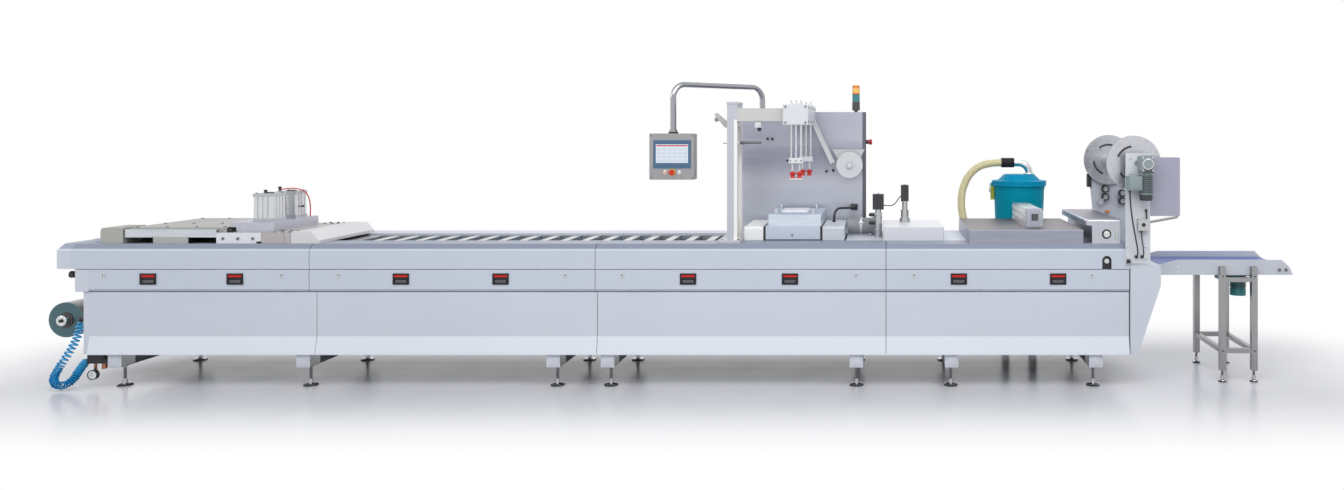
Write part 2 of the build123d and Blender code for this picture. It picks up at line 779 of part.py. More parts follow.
bracket_thick = 8
bracket_back = reel_y[1] + 7 + bracket_thick
bracket_rise = 115
bracket_boss_radius = 20
reel_cap_radius = 26
reel_cap_thick = 12
with BuildPart() as label_bracket:
    bracket_top = reel_centre[1] + bracket_rise
    bracket_foot = reel_centre[1] - 48
    outline = [
        (reel_centre[0] - 134, bracket_top),
        (reel_centre[0] + 113, bracket_top),
        (reel_centre[0] + 33, bracket_foot),
        (reel_centre[0] - 35, bracket_foot),
    ]
    profile(at_y(bracket_back), outline, bracket_thick)
    round_bar(at_y(cabinet_y[0]), reel_centre, bracket_boss_radius, cabinet_y[0] - bracket_back)
    pin_end = reel_y[0] - running_gap
    round_bar(at_y(bracket_back), reel_centre, reel_pin_radius, bracket_back - pin_end)
    round_bar(at_y(pin_end), reel_centre, reel_cap_radius, reel_cap_thick)
keep(label_bracket, "label_bracket")

# Label band: from the block's end it runs down beside the reel, off the roll's edge by a running clearance
band_start = (gantry_block_x[1], gantry_block_z[0] + 28)
band_clearance = 5.5
band_thick = 1
band_inset = 3
with BuildPart() as label_band:
    reach = (band_start[0] - reel_centre[0], band_start[1] - reel_centre[1])
    apart = reel_radius + band_clearance
    heading = atan2(reach[1], reach[0]) + acos(apart / hypot(*reach))
    touch = (reel_centre[0] + apart * cos(heading), reel_centre[1] + apart * sin(heading))
    outward_step = (band_thick * cos(heading), band_thick * sin(heading))
    lower_start = band_start[1] - band_thick / abs(cos(heading))
    band = [
        band_start,
        (touch[0], touch[1]),
        (touch[0] + outward_step[0], touch[1] + outward_step[1]),
        (band_start[0], lower_start),
    ]
    profile(at_y(reel_y[1] - band_inset), band, reel_width - 2 * band_inset)
keep(label_band, "label_band")

# Swing arm on the cabinet, and the operator panel that hangs from its tip
arm_tip = (4078, -153)
arm_rise = 187
arm_height = cabinet_top + arm_rise
arm_radius = 21
arm_bend = 95
arm_fall = 316
hanger_height = 30
panel_height = 321
panel_top = arm_height - arm_fall - hanger_height
panel_bottom = panel_top - panel_height
panel_width = 318
panel_depth = 80
panel_y = (arm_tip[1] - 42, arm_tip[1] - 42 + panel_depth)
with BuildPart() as swing_arm:
    with BuildLine() as run:
        FilletPolyline(
            place(*arm_foot, cabinet_top + collar_height + running_gap),
            place(*arm_foot, arm_height),
            place(*arm_tip, arm_height),
            place(*arm_tip, panel_top + hanger_height),
            radius=arm_bend,
        )
    with BuildSketch(Plane(run.line @ 0, z_dir=(0, 0, 1))):
        Circle(arm_radius)
    sweep()
keep(swing_arm, "swing_arm")

bezel_width = 261
bezel_height = 196
bezel_drop = 47
bezel_z = (panel_top - bezel_drop - bezel_height, panel_top - bezel_drop)
bezel_proud = 5
button_z = panel_bottom + 50
button_pitch = 50
stop_ring_radius = 24
mushroom_radius = 19
with BuildPart() as operator_panel:
    face_y = panel_y[0]
    with BuildSketch(at_y(panel_y[1])) as box_outline:
        with Locations((arm_tip[0], (panel_top + panel_bottom) / 2)):
            RectangleRounded(panel_width, panel_top - panel_bottom, 8)
    extrude(box_outline.sketch, amount=panel_y[1] - face_y)
    chamfer(operator_panel.faces().sort_by(Axis.Y)[0].edges(), 3)
    round_bar(at_z(panel_top), arm_tip, 34, 12)
    round_bar(at_z(panel_top), arm_tip, 27, hanger_height - running_gap)
    with BuildSketch(at_y(face_y)) as bezel:
        with Locations((arm_tip[0], (bezel_z[0] + bezel_z[1]) / 2)):
            RectangleRounded(bezel_width, bezel_z[1] - bezel_z[0], 5)
    extrude(bezel.sketch, amount=bezel_proud)
    round_bar(at_y(face_y), (arm_tip[0], button_z), stop_ring_radius, 3)
    round_bar(at_y(face_y), (arm_tip[0], button_z), 12, 13)
    round_bar(at_y(face_y - 13), (arm_tip[0], button_z), mushroom_radius, 14)
    for dx in (-button_pitch, button_pitch):
        round_bar(at_y(face_y), (arm_tip[0] + dx, button_z), 11, 9)
keep(operator_panel, "operator_panel")

# Sealing station: the chamber between two covers, and its head with four knobs
seal_y = (-234, 286)
seal_start = gantry_foot_x[1] + plate_gap
seal_cover_top = deck_top + 93
cover_gap = 1
right_cover_width = 150
chamber_x = (4718, 5126)
chamber_top = deck_top + 98
chamber_edge = 16
head_height = 84
head_top_z = chamber_top + head_height
head_x = (4748, 5120)
head_plate_x = (4830, 5010)
head_plate_y = (-60, 200)
head_plate_thick = 9
stud_x = (4800, 5060)
stud_y = (-180, 200)
side_section = [
    (seal_y[0], deck_top),
    (seal_y[1], deck_top),
    (seal_y[1], seal_cover_top),
    (seal_y[0] + 12, seal_cover_top),
    (seal_y[0], seal_cover_top - 12),
]
hose_foot = (5190, 144)
hose_foot_height = 10
with BuildPart() as sealing_covers:
    profile(at_x(seal_start), side_section, chamber_x[0] - cover_gap - seal_start)
    profile(at_x(chamber_x[1] + cover_gap), side_section, right_cover_width)
    round_bar(at_z(seal_cover_top), hose_foot, 14, hose_foot_height)
keep(sealing_covers, "sealing_covers")

with BuildPart() as sealing_chamber:
    block(chamber_x, (seal_y[0] + 4, seal_y[1]), (deck_top, chamber_top - 3))
    inner_x = (chamber_x[0] + chamber_edge, chamber_x[1] - chamber_edge)
    block(inner_x, (seal_y[0] - 4, seal_y[1]), (deck_top, chamber_top))
keep(sealing_chamber, "sealing_chamber")

with BuildPart() as sealing_head:
    block(head_x, seal_y, (chamber_top, head_top_z))
    fillet(sealing_head.edges().filter_by(Axis.Z), 10)
    chamfer(sealing_head.edges().group_by(Axis.Z)[-1], 6)
    block(head_plate_x, head_plate_y, (head_top_z, head_top_z + head_plate_thick))
    for x in stud_x:
        for y in stud_y:
            round_bar(at_z(head_top_z), (x, y), 8, 22)
            round_bar(at_z(head_top_z + 22), (x, y), 14, 10)
keep(sealing_head, "sealing_head")

# Vacuum line and valves behind the sealing station
pipe_y = 150
pipe_z = deck_top + 65
pipe_radius = 58
pipe_x = (5290, 5480)
flange_thick = 18
saddle_x = (5330, 5440)
with BuildPart() as vacuum_pipe:
    round_bar(at_x(pipe_x[0]), (pipe_y, pipe_z), pipe_radius, pipe_x[1] - pipe_x[0])
    round_bar(at_x(pipe_x[1] - flange_thick + 3), (pipe_y, pipe_z), pipe_radius + 6, flange_thick)
    block(saddle_x, around(pipe_y, 60), (deck_top, pipe_z - pipe_radius + 4))
keep(vacuum_pipe, "vacuum_pipe")

valve_cover_x = (5546, 5967)
valve_cover_half = 250
valve_cover_top = deck_top + 95
with BuildPart() as valve_cover:
    block(valve_cover_x, (-valve_cover_half, valve_cover_half), (deck_top, valve_cover_top))
    fillet(valve_cover.edges().filter_by(Axis.Z), 10)
    fillet(valve_cover.edges().group_by(Axis.Z)[-1], 6)
keep(valve_cover, "valve_cover")

# The two vacuum valves: a stepped round body with a square coil on top
front_valve = (5512, 0)
front_body = ((28, 170), (22, 26))
front_coil = (80, 68, 109)
rear_valve = (5704, 100)
rear_body = ((38, 30), (28, 60), (20, 63))
rear_coil = (56, 56, 116)
with BuildPart() as vacuum_valves:
    for centre, foot, body, coil in (
        (front_valve, deck_top, front_body, front_coil),
        (rear_valve, valve_cover_top, rear_body, rear_coil),
    ):
        level = foot
        for radius, height in body:
            round_bar(at_z(level), centre, radius, height)
            level += height
        block(around(centre[0], coil[0]), around(centre[1], coil[1]), (level, level + coil[2]))
keep(vacuum_valves, "vacuum_valves")

# Cross cutter across the web, with its drive housing on top
cut_y = (3 - rail_flat, rail_flat)
cutter_x = (6123, 6894)
cutter_top = deck_top + 92
drive_x = (6528, 6660)
drive_front = -200
drive_height = 121
drive_top = cutter_top + drive_height
with BuildPart() as cross_cutter:
    block(cutter_x, cut_y, (deck_top, cutter_top))
    fillet(cross_cutter.edges().filter_by(Axis.Z), 6)
    fillet(cross_cutter.edges().group_by(Axis.Z)[-1], 4)
keep(cross_cutter, "cross_cutter")

drive_groove_z = (cutter_top + 35, cutter_top + 75)
drive_groove = 14
drive_end_inset = 12
drive_end_length = 34
drive_button = ((drive_x[0] + drive_x[1]) / 2, cutter_top + 73)
with BuildPart() as cutter_drive:
    block(drive_x, (drive_front, cut_y[1]), (cutter_top, drive_top))
    chamfer(cutter_drive.edges().filter_by(Axis.Y).group_by(Axis.Z)[-1], 14)
    for x in drive_x:
        for z in drive_groove_z:
            groove_x = around(x, drive_groove)
            block(groove_x, (drive_front, cut_y[1]), around(z, drive_groove - 2), Mode.SUBTRACT)
    end_x = (drive_x[0] + drive_end_inset, drive_x[1] - drive_end_inset)
    block(end_x, (drive_front - drive_end_length, drive_front), (cutter_top, drive_top + 6))
    round_bar(at_y(drive_front - drive_end_length), drive_button, 16, 12)
keep(cutter_drive, "cutter_drive")

# Slitter housing: a top plate with a rounded edge reaches out over it, and a knob sits in a round opening
slitter_x = (6950, 7138)
slitter_height = 162
slitter_top = deck_top + slitter_height
slitter_plate_thick = 40
slitter_reach = 45
knob_place = (7047, deck_top + 64)
knob_opening = 32
knob_radius = 22
knob_depth = 30
with BuildPart() as slitter:
    plate_bottom = slitter_top - slitter_plate_thick
    block(slitter_x, cut_y, (deck_top, plate_bottom))
    block((slitter_x[0] - slitter_reach, slitter_x[1]), cut_y, (plate_bottom, slitter_top))
    plate_edges = slitter.faces().sort_by(Axis.X)[0].edges()
    fillet(plate_edges.filter_by(Axis.Z).sort_by(Axis.Y)[0], slitter_reach - 2)
    fillet(slitter.faces().sort_by(Axis.Z)[-1].edges().sort_by(Axis.X)[0], 14)
    round_bar(at_y(cut_y[0] + knob_depth), knob_place, knob_opening, knob_depth, Mode.SUBTRACT)
    round_bar(at_y(cut_y[0] + knob_depth), knob_place, knob_radius, knob_depth + 8)
keep(slitter, "slitter")

# Scrap winder: a reel with two slotted discs on a shaft that turns in the back plate and the front plate
winder_axis = (7236, deck_top + 540)
winder_radius = 185
winder_drum_radius = 44
winder_disc = 8
winder_y = (-400, 335)
winder_shaft = 20
slot_radius = 112
slot_width = 15
slot_span = 55
slot_count = 3
back_plate_y = 355
winder_plate_thick = 12
front_plate_thick = 12
front_plate_y = (-body_half - front_plate_thick, -body_half)
with BuildLine() as slot_bow:
    CenterArc((0, 0), slot_radius, 0, slot_span)
with BuildPart() as winder_reel:
    round_bar(at_y(winder_y[1]), winder_axis, winder_drum_radius, winder_y[1] - winder_y[0])
    for y, first in ((winder_y[0] + winder_disc, 100), (winder_y[1], 190)):
        round_bar(at_y(y), winder_axis, winder_radius, winder_disc)
        with BuildSketch(at_y(y)) as slots:
            for i in range(slot_count):
                with Locations(Location(winder_axis, first + i * 360 / slot_count)):
                    SlotArc(slot_bow.edges()[0], slot_width)
        extrude(slots.sketch, amount=winder_disc, mode=Mode.SUBTRACT)
    shaft_back = back_plate_y + winder_plate_thick + 8
    shaft_front = front_plate_y[0] + running_gap
    round_bar(at_y(shaft_back), winder_axis, winder_shaft, shaft_back - shaft_front)
keep(winder_reel, "winder_reel")

# Winder frame: the back plate with its knobs, and the front plate with the shaft's bearing
front_plate_x = (7162, 7326)
front_plate_z = (rail_bottom + 41, winder_axis[1] + 70)
back_plate_end = 7370
deck_end = rail_joints[-1]
back_plate = [
    (slitter_x[1] + seam, deck_top),
    (deck_end, deck_top),
    (deck_end, nose_top),
    (back_plate_end, nose_top),
    (back_plate_end, winder_axis[1] - 265),
    (winder_axis[0] + 54, winder_axis[1] + 47),
    (winder_axis[0] - 54, winder_axis[1] + 47),
    (winder_axis[0] - 142, winder_axis[1] - 94),
    (winder_axis[0] - 114, slitter_top + seam),
    (slitter_x[1] + seam, slitter_top + seam),
]
plate_knob_radius = 28
plate_knob_length = 40
knob_pitch = 60
knob_top = winder_axis[1] - 218
plate_knobs = [(7212, knob_top - i * knob_pitch) for i in range(2)]
plate_knobs += [(7340, knob_top - 31 - i * knob_pitch) for i in range(2)]
plate_pin = (7174, winder_axis[1] - 315)
plate_pin_radius = 20
plate_clamp_x = (7080, 7112)
plate_clamp_z = (winder_axis[1] - 205, winder_axis[1] - 105)
bearing_radius = 40
bearing_depth = 18
with BuildPart() as winder_frame:
    plate_back = back_plate_y + winder_plate_thick
    shaft_bore = winder_shaft + running_gap
    profile(at_y(plate_back), back_plate, winder_plate_thick)
    round_bar(at_y(plate_back), winder_axis, shaft_bore, winder_plate_thick, Mode.SUBTRACT)
    for centre in plate_knobs:
        round_bar(at_y(back_plate_y), centre, plate_knob_radius, plate_knob_length)
    round_bar(at_y(back_plate_y), plate_pin, plate_pin_radius, plate_knob_length)
    clamp_y = (back_plate_y - 8, plate_back + 12)
    block(plate_clamp_x, clamp_y, plate_clamp_z)
    block(front_plate_x, front_plate_y, front_plate_z)
    bearing_y = front_plate_y[1] + bearing_depth
    round_bar(at_y(bearing_y), winder_axis, bearing_radius, bearing_depth)
    bore_length = bearing_y - front_plate_y[0]
    round_bar(at_y(bearing_y), winder_axis, shaft_bore, bore_length, Mode.SUBTRACT)
keep(winder_frame, "winder_frame")

# Gear motor on the front plate, with its terminal box
gearbox_x = (7240, front_plate_x[1])
gearbox_z = (winder_axis[1] - 55, winder_axis[1] + 55)
gearbox_depth = 103
gearbox_front = front_plate_y[0] - gearbox_depth
motor_x = 7283
motor_y = -540
motor_radius = 38
motor_length = 150
motor_foot = gearbox_z[0] - motor_length
motor_cap_height = 38
terminal_box_z = (motor_foot + 30, motor_foot + 125)
motor_gland = (7176, motor_y)
gland_length = 14
with BuildPart() as gear_motor:
    block(gearbox_x, (gearbox_front, front_plate_y[0]), gearbox_z)
    fillet(gear_motor.edges().filter_by(Axis.Y), 14)
    round_bar(at_y(gearbox_front), (motor_x, winder_axis[1]), 30, 10)
    round_bar(at_z(motor_foot), (motor_x, motor_y), motor_radius, motor_length)
    round_bar(at_z(motor_foot - motor_cap_height), (motor_x, motor_y), motor_radius + 4, motor_cap_height)
    fillet(gear_motor.edges().filter_by(GeomType.CIRCLE).sort_by(Axis.Z)[0], 12)
    block((7160, motor_x - 33), (motor_y - 35, motor_y + 35), terminal_box_z)
    round_bar(at_z(terminal_box_z[0] - gland_length), motor_gland, 9, gland_length)
keep(gear_motor, "gear_motor")

# Switch box under the motor, and the two cable glands low on the plate
switch_x = (7236, 7309)
switch_z = (deck_top + 97, deck_top + 173)
switch_depth = 38
switch_gland = (7262, -508)
plate_glands = ((7230, 884), (7268, 884))
lever_x = (7292, 7300)
lever_length = 62
plate_gland_length = 16
with BuildPart() as limit_switch:
    block(switch_x, (front_plate_y[0] - switch_depth, front_plate_y[0]), switch_z)
    round_bar(at_z(switch_z[0] - gland_length), switch_gland, 8, gland_length)
    lever_y = (front_plate_y[0] - 20, front_plate_y[0] - 12)
    block(lever_x, lever_y, (switch_z[1], switch_z[1] + lever_length))
    for centre in plate_glands:
        round_bar(at_y(front_plate_y[0]), centre, 10, plate_gland_length)
keep(limit_switch, "limit_switch")

# Sheet guard before the winder's reel, with the handrail that holds it from below
guard_x = (7290, 7527)
guard_height = 391
guard_z = (winder_axis[1] + 40 - guard_height, winder_axis[1] + 40)
guard_depth = 64
handrail_radius = 8
handrail_start = front_plate_x[1] - 16
handrail_drop = 44
handrail_bend = 9
with BuildPart() as winder_guard:
    guard_face = front_plate_y[1] + running_gap
    block(guard_x, (guard_face, guard_face + guard_depth), guard_z)
    fillet(winder_guard.edges().filter_by(Axis.Y), 8)
    handrail_y = guard_face + handrail_radius
    with BuildLine() as handrail:
        FilletPolyline(
            place(handrail_start, handrail_y, guard_z[0] - handrail_drop),
            place(guard_x[1] - 18, handrail_y, guard_z[0] - 8),
            place(guard_x[1] - 14, handrail_y, guard_z[0] + 12),
            radius=handrail_bend,
        )
    with BuildSketch(Plane(handrail.line @ 0, z_dir=handrail.line % 0)) as handrail_section:
        Circle(handrail_radius)
    sweep(handrail_section.sketch, path=handrail.line)
keep(winder_guard, "winder_guard")

# Outfeed conveyor: side plates, rollers and the slide bed between them
conveyor_end = 8371
side_thick = 12
belt_clearance = 2
belt_thick = 3
belt_x = (conveyor_start + 6, conveyor_end - 30)
roller_radius = 26
slide_bed_thick = 30
slide_bed_inset = 60
bearing_disc_radius = 17
bearing_disc_proud = 4
bearing_inset = (50, 94)
bearing_rise = 35
with BuildPart() as conveyor_frame:
    for y in (-conveyor_half + side_thick, conveyor_half):
        profile(
            at_y(y),
            [
                (conveyor_start, conveyor_bottom),
                (conveyor_end, conveyor_bottom),
                (conveyor_end - 20, conveyor_bottom + 50),
                (conveyor_end - 75, conveyor_top),
                (conveyor_start + 190, conveyor_top),
                (conveyor_start, belt_top - 10),
            ],
            side_thick,
        )
    inner = conveyor_half - side_thick
    under_belt = belt_top - belt_thick - running_gap
    for x in (belt_x[0] + roller_radius, belt_x[1] - roller_radius):
        centre = (x, belt_top - roller_radius)
        round_bar(at_y(inner), centre, roller_radius - belt_thick - running_gap, 2 * inner)
    bed_x = (belt_x[0] + slide_bed_inset, belt_x[1] - slide_bed_inset)
    block(bed_x, (-inner, inner), (under_belt - slide_bed_thick, under_belt))
    for inset in bearing_inset:
        centre = (conveyor_end - inset, conveyor_bottom + bearing_rise)
        round_bar(at_y(-conveyor_half), centre, bearing_disc_radius, bearing_disc_proud)
        round_bar(at_y(conveyor_half + bearing_disc_proud), centre, bearing_disc_radius, bearing_disc_proud)
keep(conveyor_frame, "conveyor_frame")

with BuildPart() as conveyor_belt:
    belt_half = inner - belt_clearance
    with BuildSketch(at_y(belt_half)) as loop:
        with Locations(((belt_x[0] + belt_x[1]) / 2, belt_top - roller_radius)):
            length = belt_x[1] - belt_x[0]
            SlotOverall(length, 2 * roller_radius)
            SlotOverall(length - 2 * belt_thick, 2 * (roller_radius - belt_thick), mode=Mode.SUBTRACT)
    extrude(loop.sketch, amount=2 * belt_half)
keep(conveyor_belt, "conveyor_belt")

# Conveyor stand: four legs outside the side plates, with bars between them
leg_inset = 277
leg_pitch = 217
leg_x = (conveyor_end - leg_inset - leg_pitch, conveyor_end - leg_inset)
leg_size = 40
leg_y = conveyor_half + leg_size / 2
leg_foot = 78
leg_top = belt_top - 1
bar_size = 32
low_bar = 213
high_bar = conveyor_bottom - 28
with BuildPart() as conveyor_stand:
    for x in leg_x:
        for side in (-1, 1):
            side_y = outward(side, conveyor_half, conveyor_half + leg_size)
            block(around(x, leg_size), side_y, (leg_foot, leg_top))
        block(around(x, bar_size), (-conveyor_half, conveyor_half), around(low_bar, bar_size))
    between = (leg_x[0] + leg_size / 2, leg_x[1] - leg_size / 2)
    for y in (-leg_y, leg_y):
        for z in (low_bar, high_bar):
            block(between, around(y, bar_size), around(z, bar_size))
keep(conveyor_stand, "conveyor_stand")

# Conveyor drive: a motor and its gear case under a plate between the side plates
drive_box_x = (leg_x[0] + 53, leg_x[1] - 34)
drive_box_y = (-120, 40)
drive_box_height = 52
conveyor_motor_place = (drive_box_x[1] - 30, -150)
conveyor_motor_length = 100
motor_hood_height = 45
belt_bottom = belt_top - 2 * roller_radius
drive_plate_z = (belt_bottom - 18, belt_bottom - 1)
with BuildPart() as conveyor_motor:
    block((drive_box_x[0], drive_box_x[1] + 20), (-inner, inner), drive_plate_z)
    block(drive_box_x, drive_box_y, (drive_plate_z[0] - drive_box_height, drive_plate_z[0]))
    motor_end = drive_plate_z[0] - conveyor_motor_length
    round_bar(at_z(motor_end), conveyor_motor_place, 50, conveyor_motor_length)
    round_bar(at_z(motor_end - motor_hood_height), conveyor_motor_place, 54, motor_hood_height)
keep(conveyor_motor, "conveyor_motor")

# Trim vacuum behind the machine: a drum on a stand, with a lid and the suction elbow
drum_place = (6620, 720)
drum_radius = 197
drum_taper = 24
drum_z = (640, 1290)
lid_edge = 14
lid_rim = 40
dome_height_z = 88
dome_top = drum_z[1] + dome_height_z
clip_half = 20
clip_drop = 110
clip_rise = 24
clip_thick = 26
elbow_foot = 6700
elbow_end = 6540
elbow_top = 1470
elbow_radius = 30
elbow_bend = 85
coupler_length = 100
coupler_start = elbow_end - 60
with BuildPart() as vacuum_drum:
    with BuildSketch(at_z(drum_z[0])) as drum_foot:
        with Locations(drum_place):
            Circle(drum_radius - drum_taper)
    with BuildSketch(at_z(drum_z[1])) as drum_rim:
        with Locations(drum_place):
            Circle(drum_radius)
    loft(sections=[drum_foot.sketch, drum_rim.sketch])
keep(vacuum_drum, "vacuum_drum")

with BuildPart() as vacuum_lid:
    turned(
        *drum_place,
        [
            (0, drum_z[1]),
            (drum_radius + lid_edge, drum_z[1]),
            (drum_radius + lid_edge + 2, drum_z[1] + lid_rim),
            (drum_radius - 34, drum_z[1] + lid_rim + 6),
            (120, dome_top),
            (0, dome_top),
        ],
    )
    with BuildLine() as bend:
        FilletPolyline(
            place(elbow_foot, drum_place[1], dome_top),
            place(elbow_foot, drum_place[1], elbow_top),
            place(elbow_end, drum_place[1], elbow_top),
            radius=elbow_bend,
        )
    with BuildSketch(Plane(bend.line @ 0, z_dir=(0, 0, 1))) as elbow_section:
        Circle(elbow_radius)
    sweep(elbow_section.sketch, path=bend.line)
    round_bar(at_x(coupler_start), (drum_place[1], elbow_top), elbow_radius + 8, coupler_length)
    clip_inner = drum_place[0] - drum_radius - running_gap
    clip_y = around(drum_place[1], 2 * clip_half)
    clip_z = (drum_z[1] - clip_drop, drum_z[1] + clip_rise)
    block((clip_inner - clip_thick, clip_inner), clip_y, clip_z)
keep(vacuum_lid, "vacuum_lid")

stand_leg = 30
stand_leg_radius = 150
stand_leg_foot = 40
stand_plate_thick = 8
stand_legs = [
    (drum_place[0] + stand_leg_radius * cos(angle), drum_place[1] + stand_leg_radius * sin(angle))
    for angle in (radians(45 + 90 * i) for i in range(4))
]
with BuildPart() as vacuum_stand:
    stand_top = drum_z[0] - stand_plate_thick
    for x, y in stand_legs:
        block(around(x, stand_leg), around(y, stand_leg), (stand_leg_foot, stand_top))
    round_bar(at_z(stand_top), drum_place, drum_radius - drum_taper, stand_plate_thick)
keep(vacuum_stand, "vacuum_stand")


def levelling_foot(x, y, top, disc_radius, rod_radius):
    """A levelling foot: a disc on the floor, a cone, and a rod up to what it carries."""
    cone_top = foot_disc_height + foot_cone_height
    turned(
        x,
        y,
        [
            (0, 0),
            (disc_radius, 0),
            (disc_radius, foot_disc_height * 0.6),
            (disc_radius * 0.82, foot_disc_height),
            (rod_radius * 1.9, foot_disc_height + 4),
            (rod_radius * 1.4, min(cone_top, top - 2)),
            (rod_radius, min(cone_top, top - 2)),
            (rod_radius, top),
            (0, top),
        ],
    )


# Levelling feet under the machine, the conveyor and the vacuum
with BuildPart() as levelling_feet:
    for x in foot_x:
        for y in (-foot_y, foot_y):
            levelling_foot(x, y, floor_gap - cross_tube, foot_disc_radius, foot_rod_radius)
    for x in leg_x:
        for y in (-leg_y, leg_y):
            levelling_foot(x, y, leg_foot, 27, 8)
    for x, y in stand_legs:
        levelling_foot(x, y, stand_leg_foot, 22, 7)
keep(levelling_feet, "levelling_feet")

# Air hose from the infeed end to the air unit: the outer shape of its curls
with BuildPart() as air_hose:
    cord_tube(
        [
            (*hose_elbow, elbow_z),
            (89, -362, 362),
            (81, -382, 302),
            (69, -410, 244),
            (55, -446, 186),
            (43, -484, 128),
            (38, -516, 74),
            (77, -537, 38),
            (133, -537, 38),
            (174, -513, 70),
            (169, -470, 112),
            (168, -430, 146),
            (unit_x[0] - inlet_reach, unit_y[0] + 36, inlet_z),
        ],
        54,
    )
keep(air_hose, "air_hose")

# Trim hose from the vacuum's elbow to its socket on the back rail
with BuildPart() as trim_hose:
    cord_tube(
        [
            (coupler_start, drum_place[1], elbow_top),
            (6350, drum_place[1], elbow_top),
            (6230, 712, 1390),
            (6168, 698, 1260),
            (6160, 682, 1120),
            (6184, 660, 1000),
            (6226, 622, 922),
            (6258, 566, 886),
            (socket_x, body_half + socket_length, socket_z),
        ],
        62,
    )
keep(trim_hose, "trim_hose")

# Cables on the winder's front plate
with BuildPart() as motor_cable:
    cord_tube(
        [
            (motor_gland[0], motor_gland[1], terminal_box_z[0] - gland_length),
            (7180, -541, 1225),
            (7196, -539, 1115),
            (7216, -535, 1010),
            (7230, -530, 940),
            (7234, -524, 905),
            (7230, front_plate_y[0] - plate_gland_length, 884),
        ],
        10,
    )
keep(motor_cable, "motor_cable")

with BuildPart() as switch_cable:
    cord_tube(
        [
            (switch_gland[0], switch_gland[1], switch_z[0] - gland_length),
            (7263, -512, 1000),
            (7270, -520, 950),
            (7272, -526, 912),
            (7270, -519, 890),
            (7268, front_plate_y[0] - plate_gland_length, 884),
        ],
        8,
    )
keep(switch_cable, "switch_cable")

# Hose from the sealing cover to the fitting on the cabinet
with BuildPart() as sealing_hose:
    cord_tube(
        [
            (*hose_foot, seal_cover_top + hose_foot_height),
            (5190, 144, 1102),
            (5199, 160, 1133),
            (5215, 187, 1151),
            (5241, 229, 1152),
            (5275, 265, 1149),
            (5307, 295, 1150),
            (5324, 317, 1151),
            (hose_fitting[0], cabinet_y[0] - hose_fitting_length, hose_fitting[1]),
        ],
        17,
    )
keep(sealing_hose, "sealing_hose")

# Air tube over the rear cylinder down to the beam
with BuildPart() as air_tube:
    cord_tube(
        [
            (red_port[0] + fitting_radius, -50, 1306),
            (1305, -42, 1312),
            (1345, -26, 1314),
            (1383, -6, 1305),
            (1410, 14, 1280),
            (1421, 32, 1244),
            (1422, 46, 1200),
            (1418, 56, 1152),
            (1414, 60, beam_top),
        ],
        8,
    )
keep(air_tube, "air_tube")

# Thin cable between the two valves
with BuildPart() as valve_cable:
    cord_tube(
        [
            (5552, 0, 1190),
            (5578, 4, 1186),
            (5603, 18, 1184),
            (5626, 40, 1192),
            (5644, 64, 1210),
            (5658, 84, 1232),
            (5676, 100, 1249),
        ],
        7,
    )
keep(valve_cable, "valve_cable")
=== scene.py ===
import math

import bpy
import bmesh
from mathutils import Matrix, Vector


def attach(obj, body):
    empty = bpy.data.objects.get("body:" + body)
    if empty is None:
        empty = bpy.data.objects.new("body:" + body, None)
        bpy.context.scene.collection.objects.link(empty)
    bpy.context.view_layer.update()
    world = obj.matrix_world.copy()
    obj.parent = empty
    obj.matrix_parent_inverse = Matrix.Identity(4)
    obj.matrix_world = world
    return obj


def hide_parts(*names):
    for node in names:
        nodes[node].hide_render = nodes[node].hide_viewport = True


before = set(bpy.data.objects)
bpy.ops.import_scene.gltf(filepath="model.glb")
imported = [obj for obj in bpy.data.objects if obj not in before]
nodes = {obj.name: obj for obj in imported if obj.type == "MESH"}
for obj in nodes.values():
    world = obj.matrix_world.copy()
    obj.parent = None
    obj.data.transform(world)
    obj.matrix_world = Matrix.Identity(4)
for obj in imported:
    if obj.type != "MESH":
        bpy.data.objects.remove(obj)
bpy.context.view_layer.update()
bpy.ops.object.select_all(action="DESELECT")

# The studio: a pale floor that runs out into a soft white surround, and three large soft lamps,
# seen by a camera that stands before the line at eye height, right of its middle.
scene = bpy.context.scene
scene.view_settings.view_transform = "Standard"


def spot(x, y, z):
    """A point of the machine from millimetres along the line, across it and above the floor."""
    return Vector(((x - 4062) / 1000, (y - 171) / 1000, z / 1000))


camera_data = bpy.data.cameras.new("camera")
camera_data.lens = 26.507
camera_data.sensor_width = 36
camera_data.shift_x = -0.1548
camera_data.shift_y = -0.0863
camera = bpy.data.objects.new("camera", camera_data)
camera.location = spot(5525, -7080, 1735)
camera.rotation_euler = (math.radians(90), 0, 0)
scene.collection.objects.link(camera)
scene.camera = camera


def reckon(tree, operation, *values):
    """One sum on numbers or on other nodes' values."""
    step = tree.nodes.new("ShaderNodeMath")
    step.operation = operation
    for socket, value in zip(step.inputs, values):
        if isinstance(value, (int, float)):
            socket.default_value = value
        else:
            tree.links.new(value, socket)
    return step.outputs[0]


def shown_plainly(tree):
    """1 for what the camera, a gloss or clear stock sees, and 0 for the light on the machine."""
    rays = tree.nodes.new("ShaderNodeLightPath").outputs
    seen = reckon(tree, "MAXIMUM", rays["Is Camera Ray"], rays["Is Glossy Ray"])
    return reckon(tree, "MAXIMUM", seen, rays["Is Transmission Ray"])


world = bpy.data.worlds.new("studio")
world.use_nodes = True
scene.world = world
tree = world.node_tree
tree.nodes.clear()
fill = tree.nodes.new("ShaderNodeBackground")
fill.inputs["Color"].default_value = (0.93, 0.95, 1.0, 1)
fill.inputs["Strength"].default_value = 0.58
white = tree.nodes.new("ShaderNodeBackground")
white.inputs["Color"].default_value = (1, 1, 1, 1)
white.inputs["Strength"].default_value = 1.0
either = tree.nodes.new("ShaderNodeMixShader")
world_out = tree.nodes.new("ShaderNodeOutputWorld")
tree.links.new(shown_plainly(tree), either.inputs[0])
tree.links.new(fill.outputs[0], either.inputs[1])
tree.links.new(white.outputs[0], either.inputs[2])
tree.links.new(either.outputs[0], world_out.inputs["Surface"])

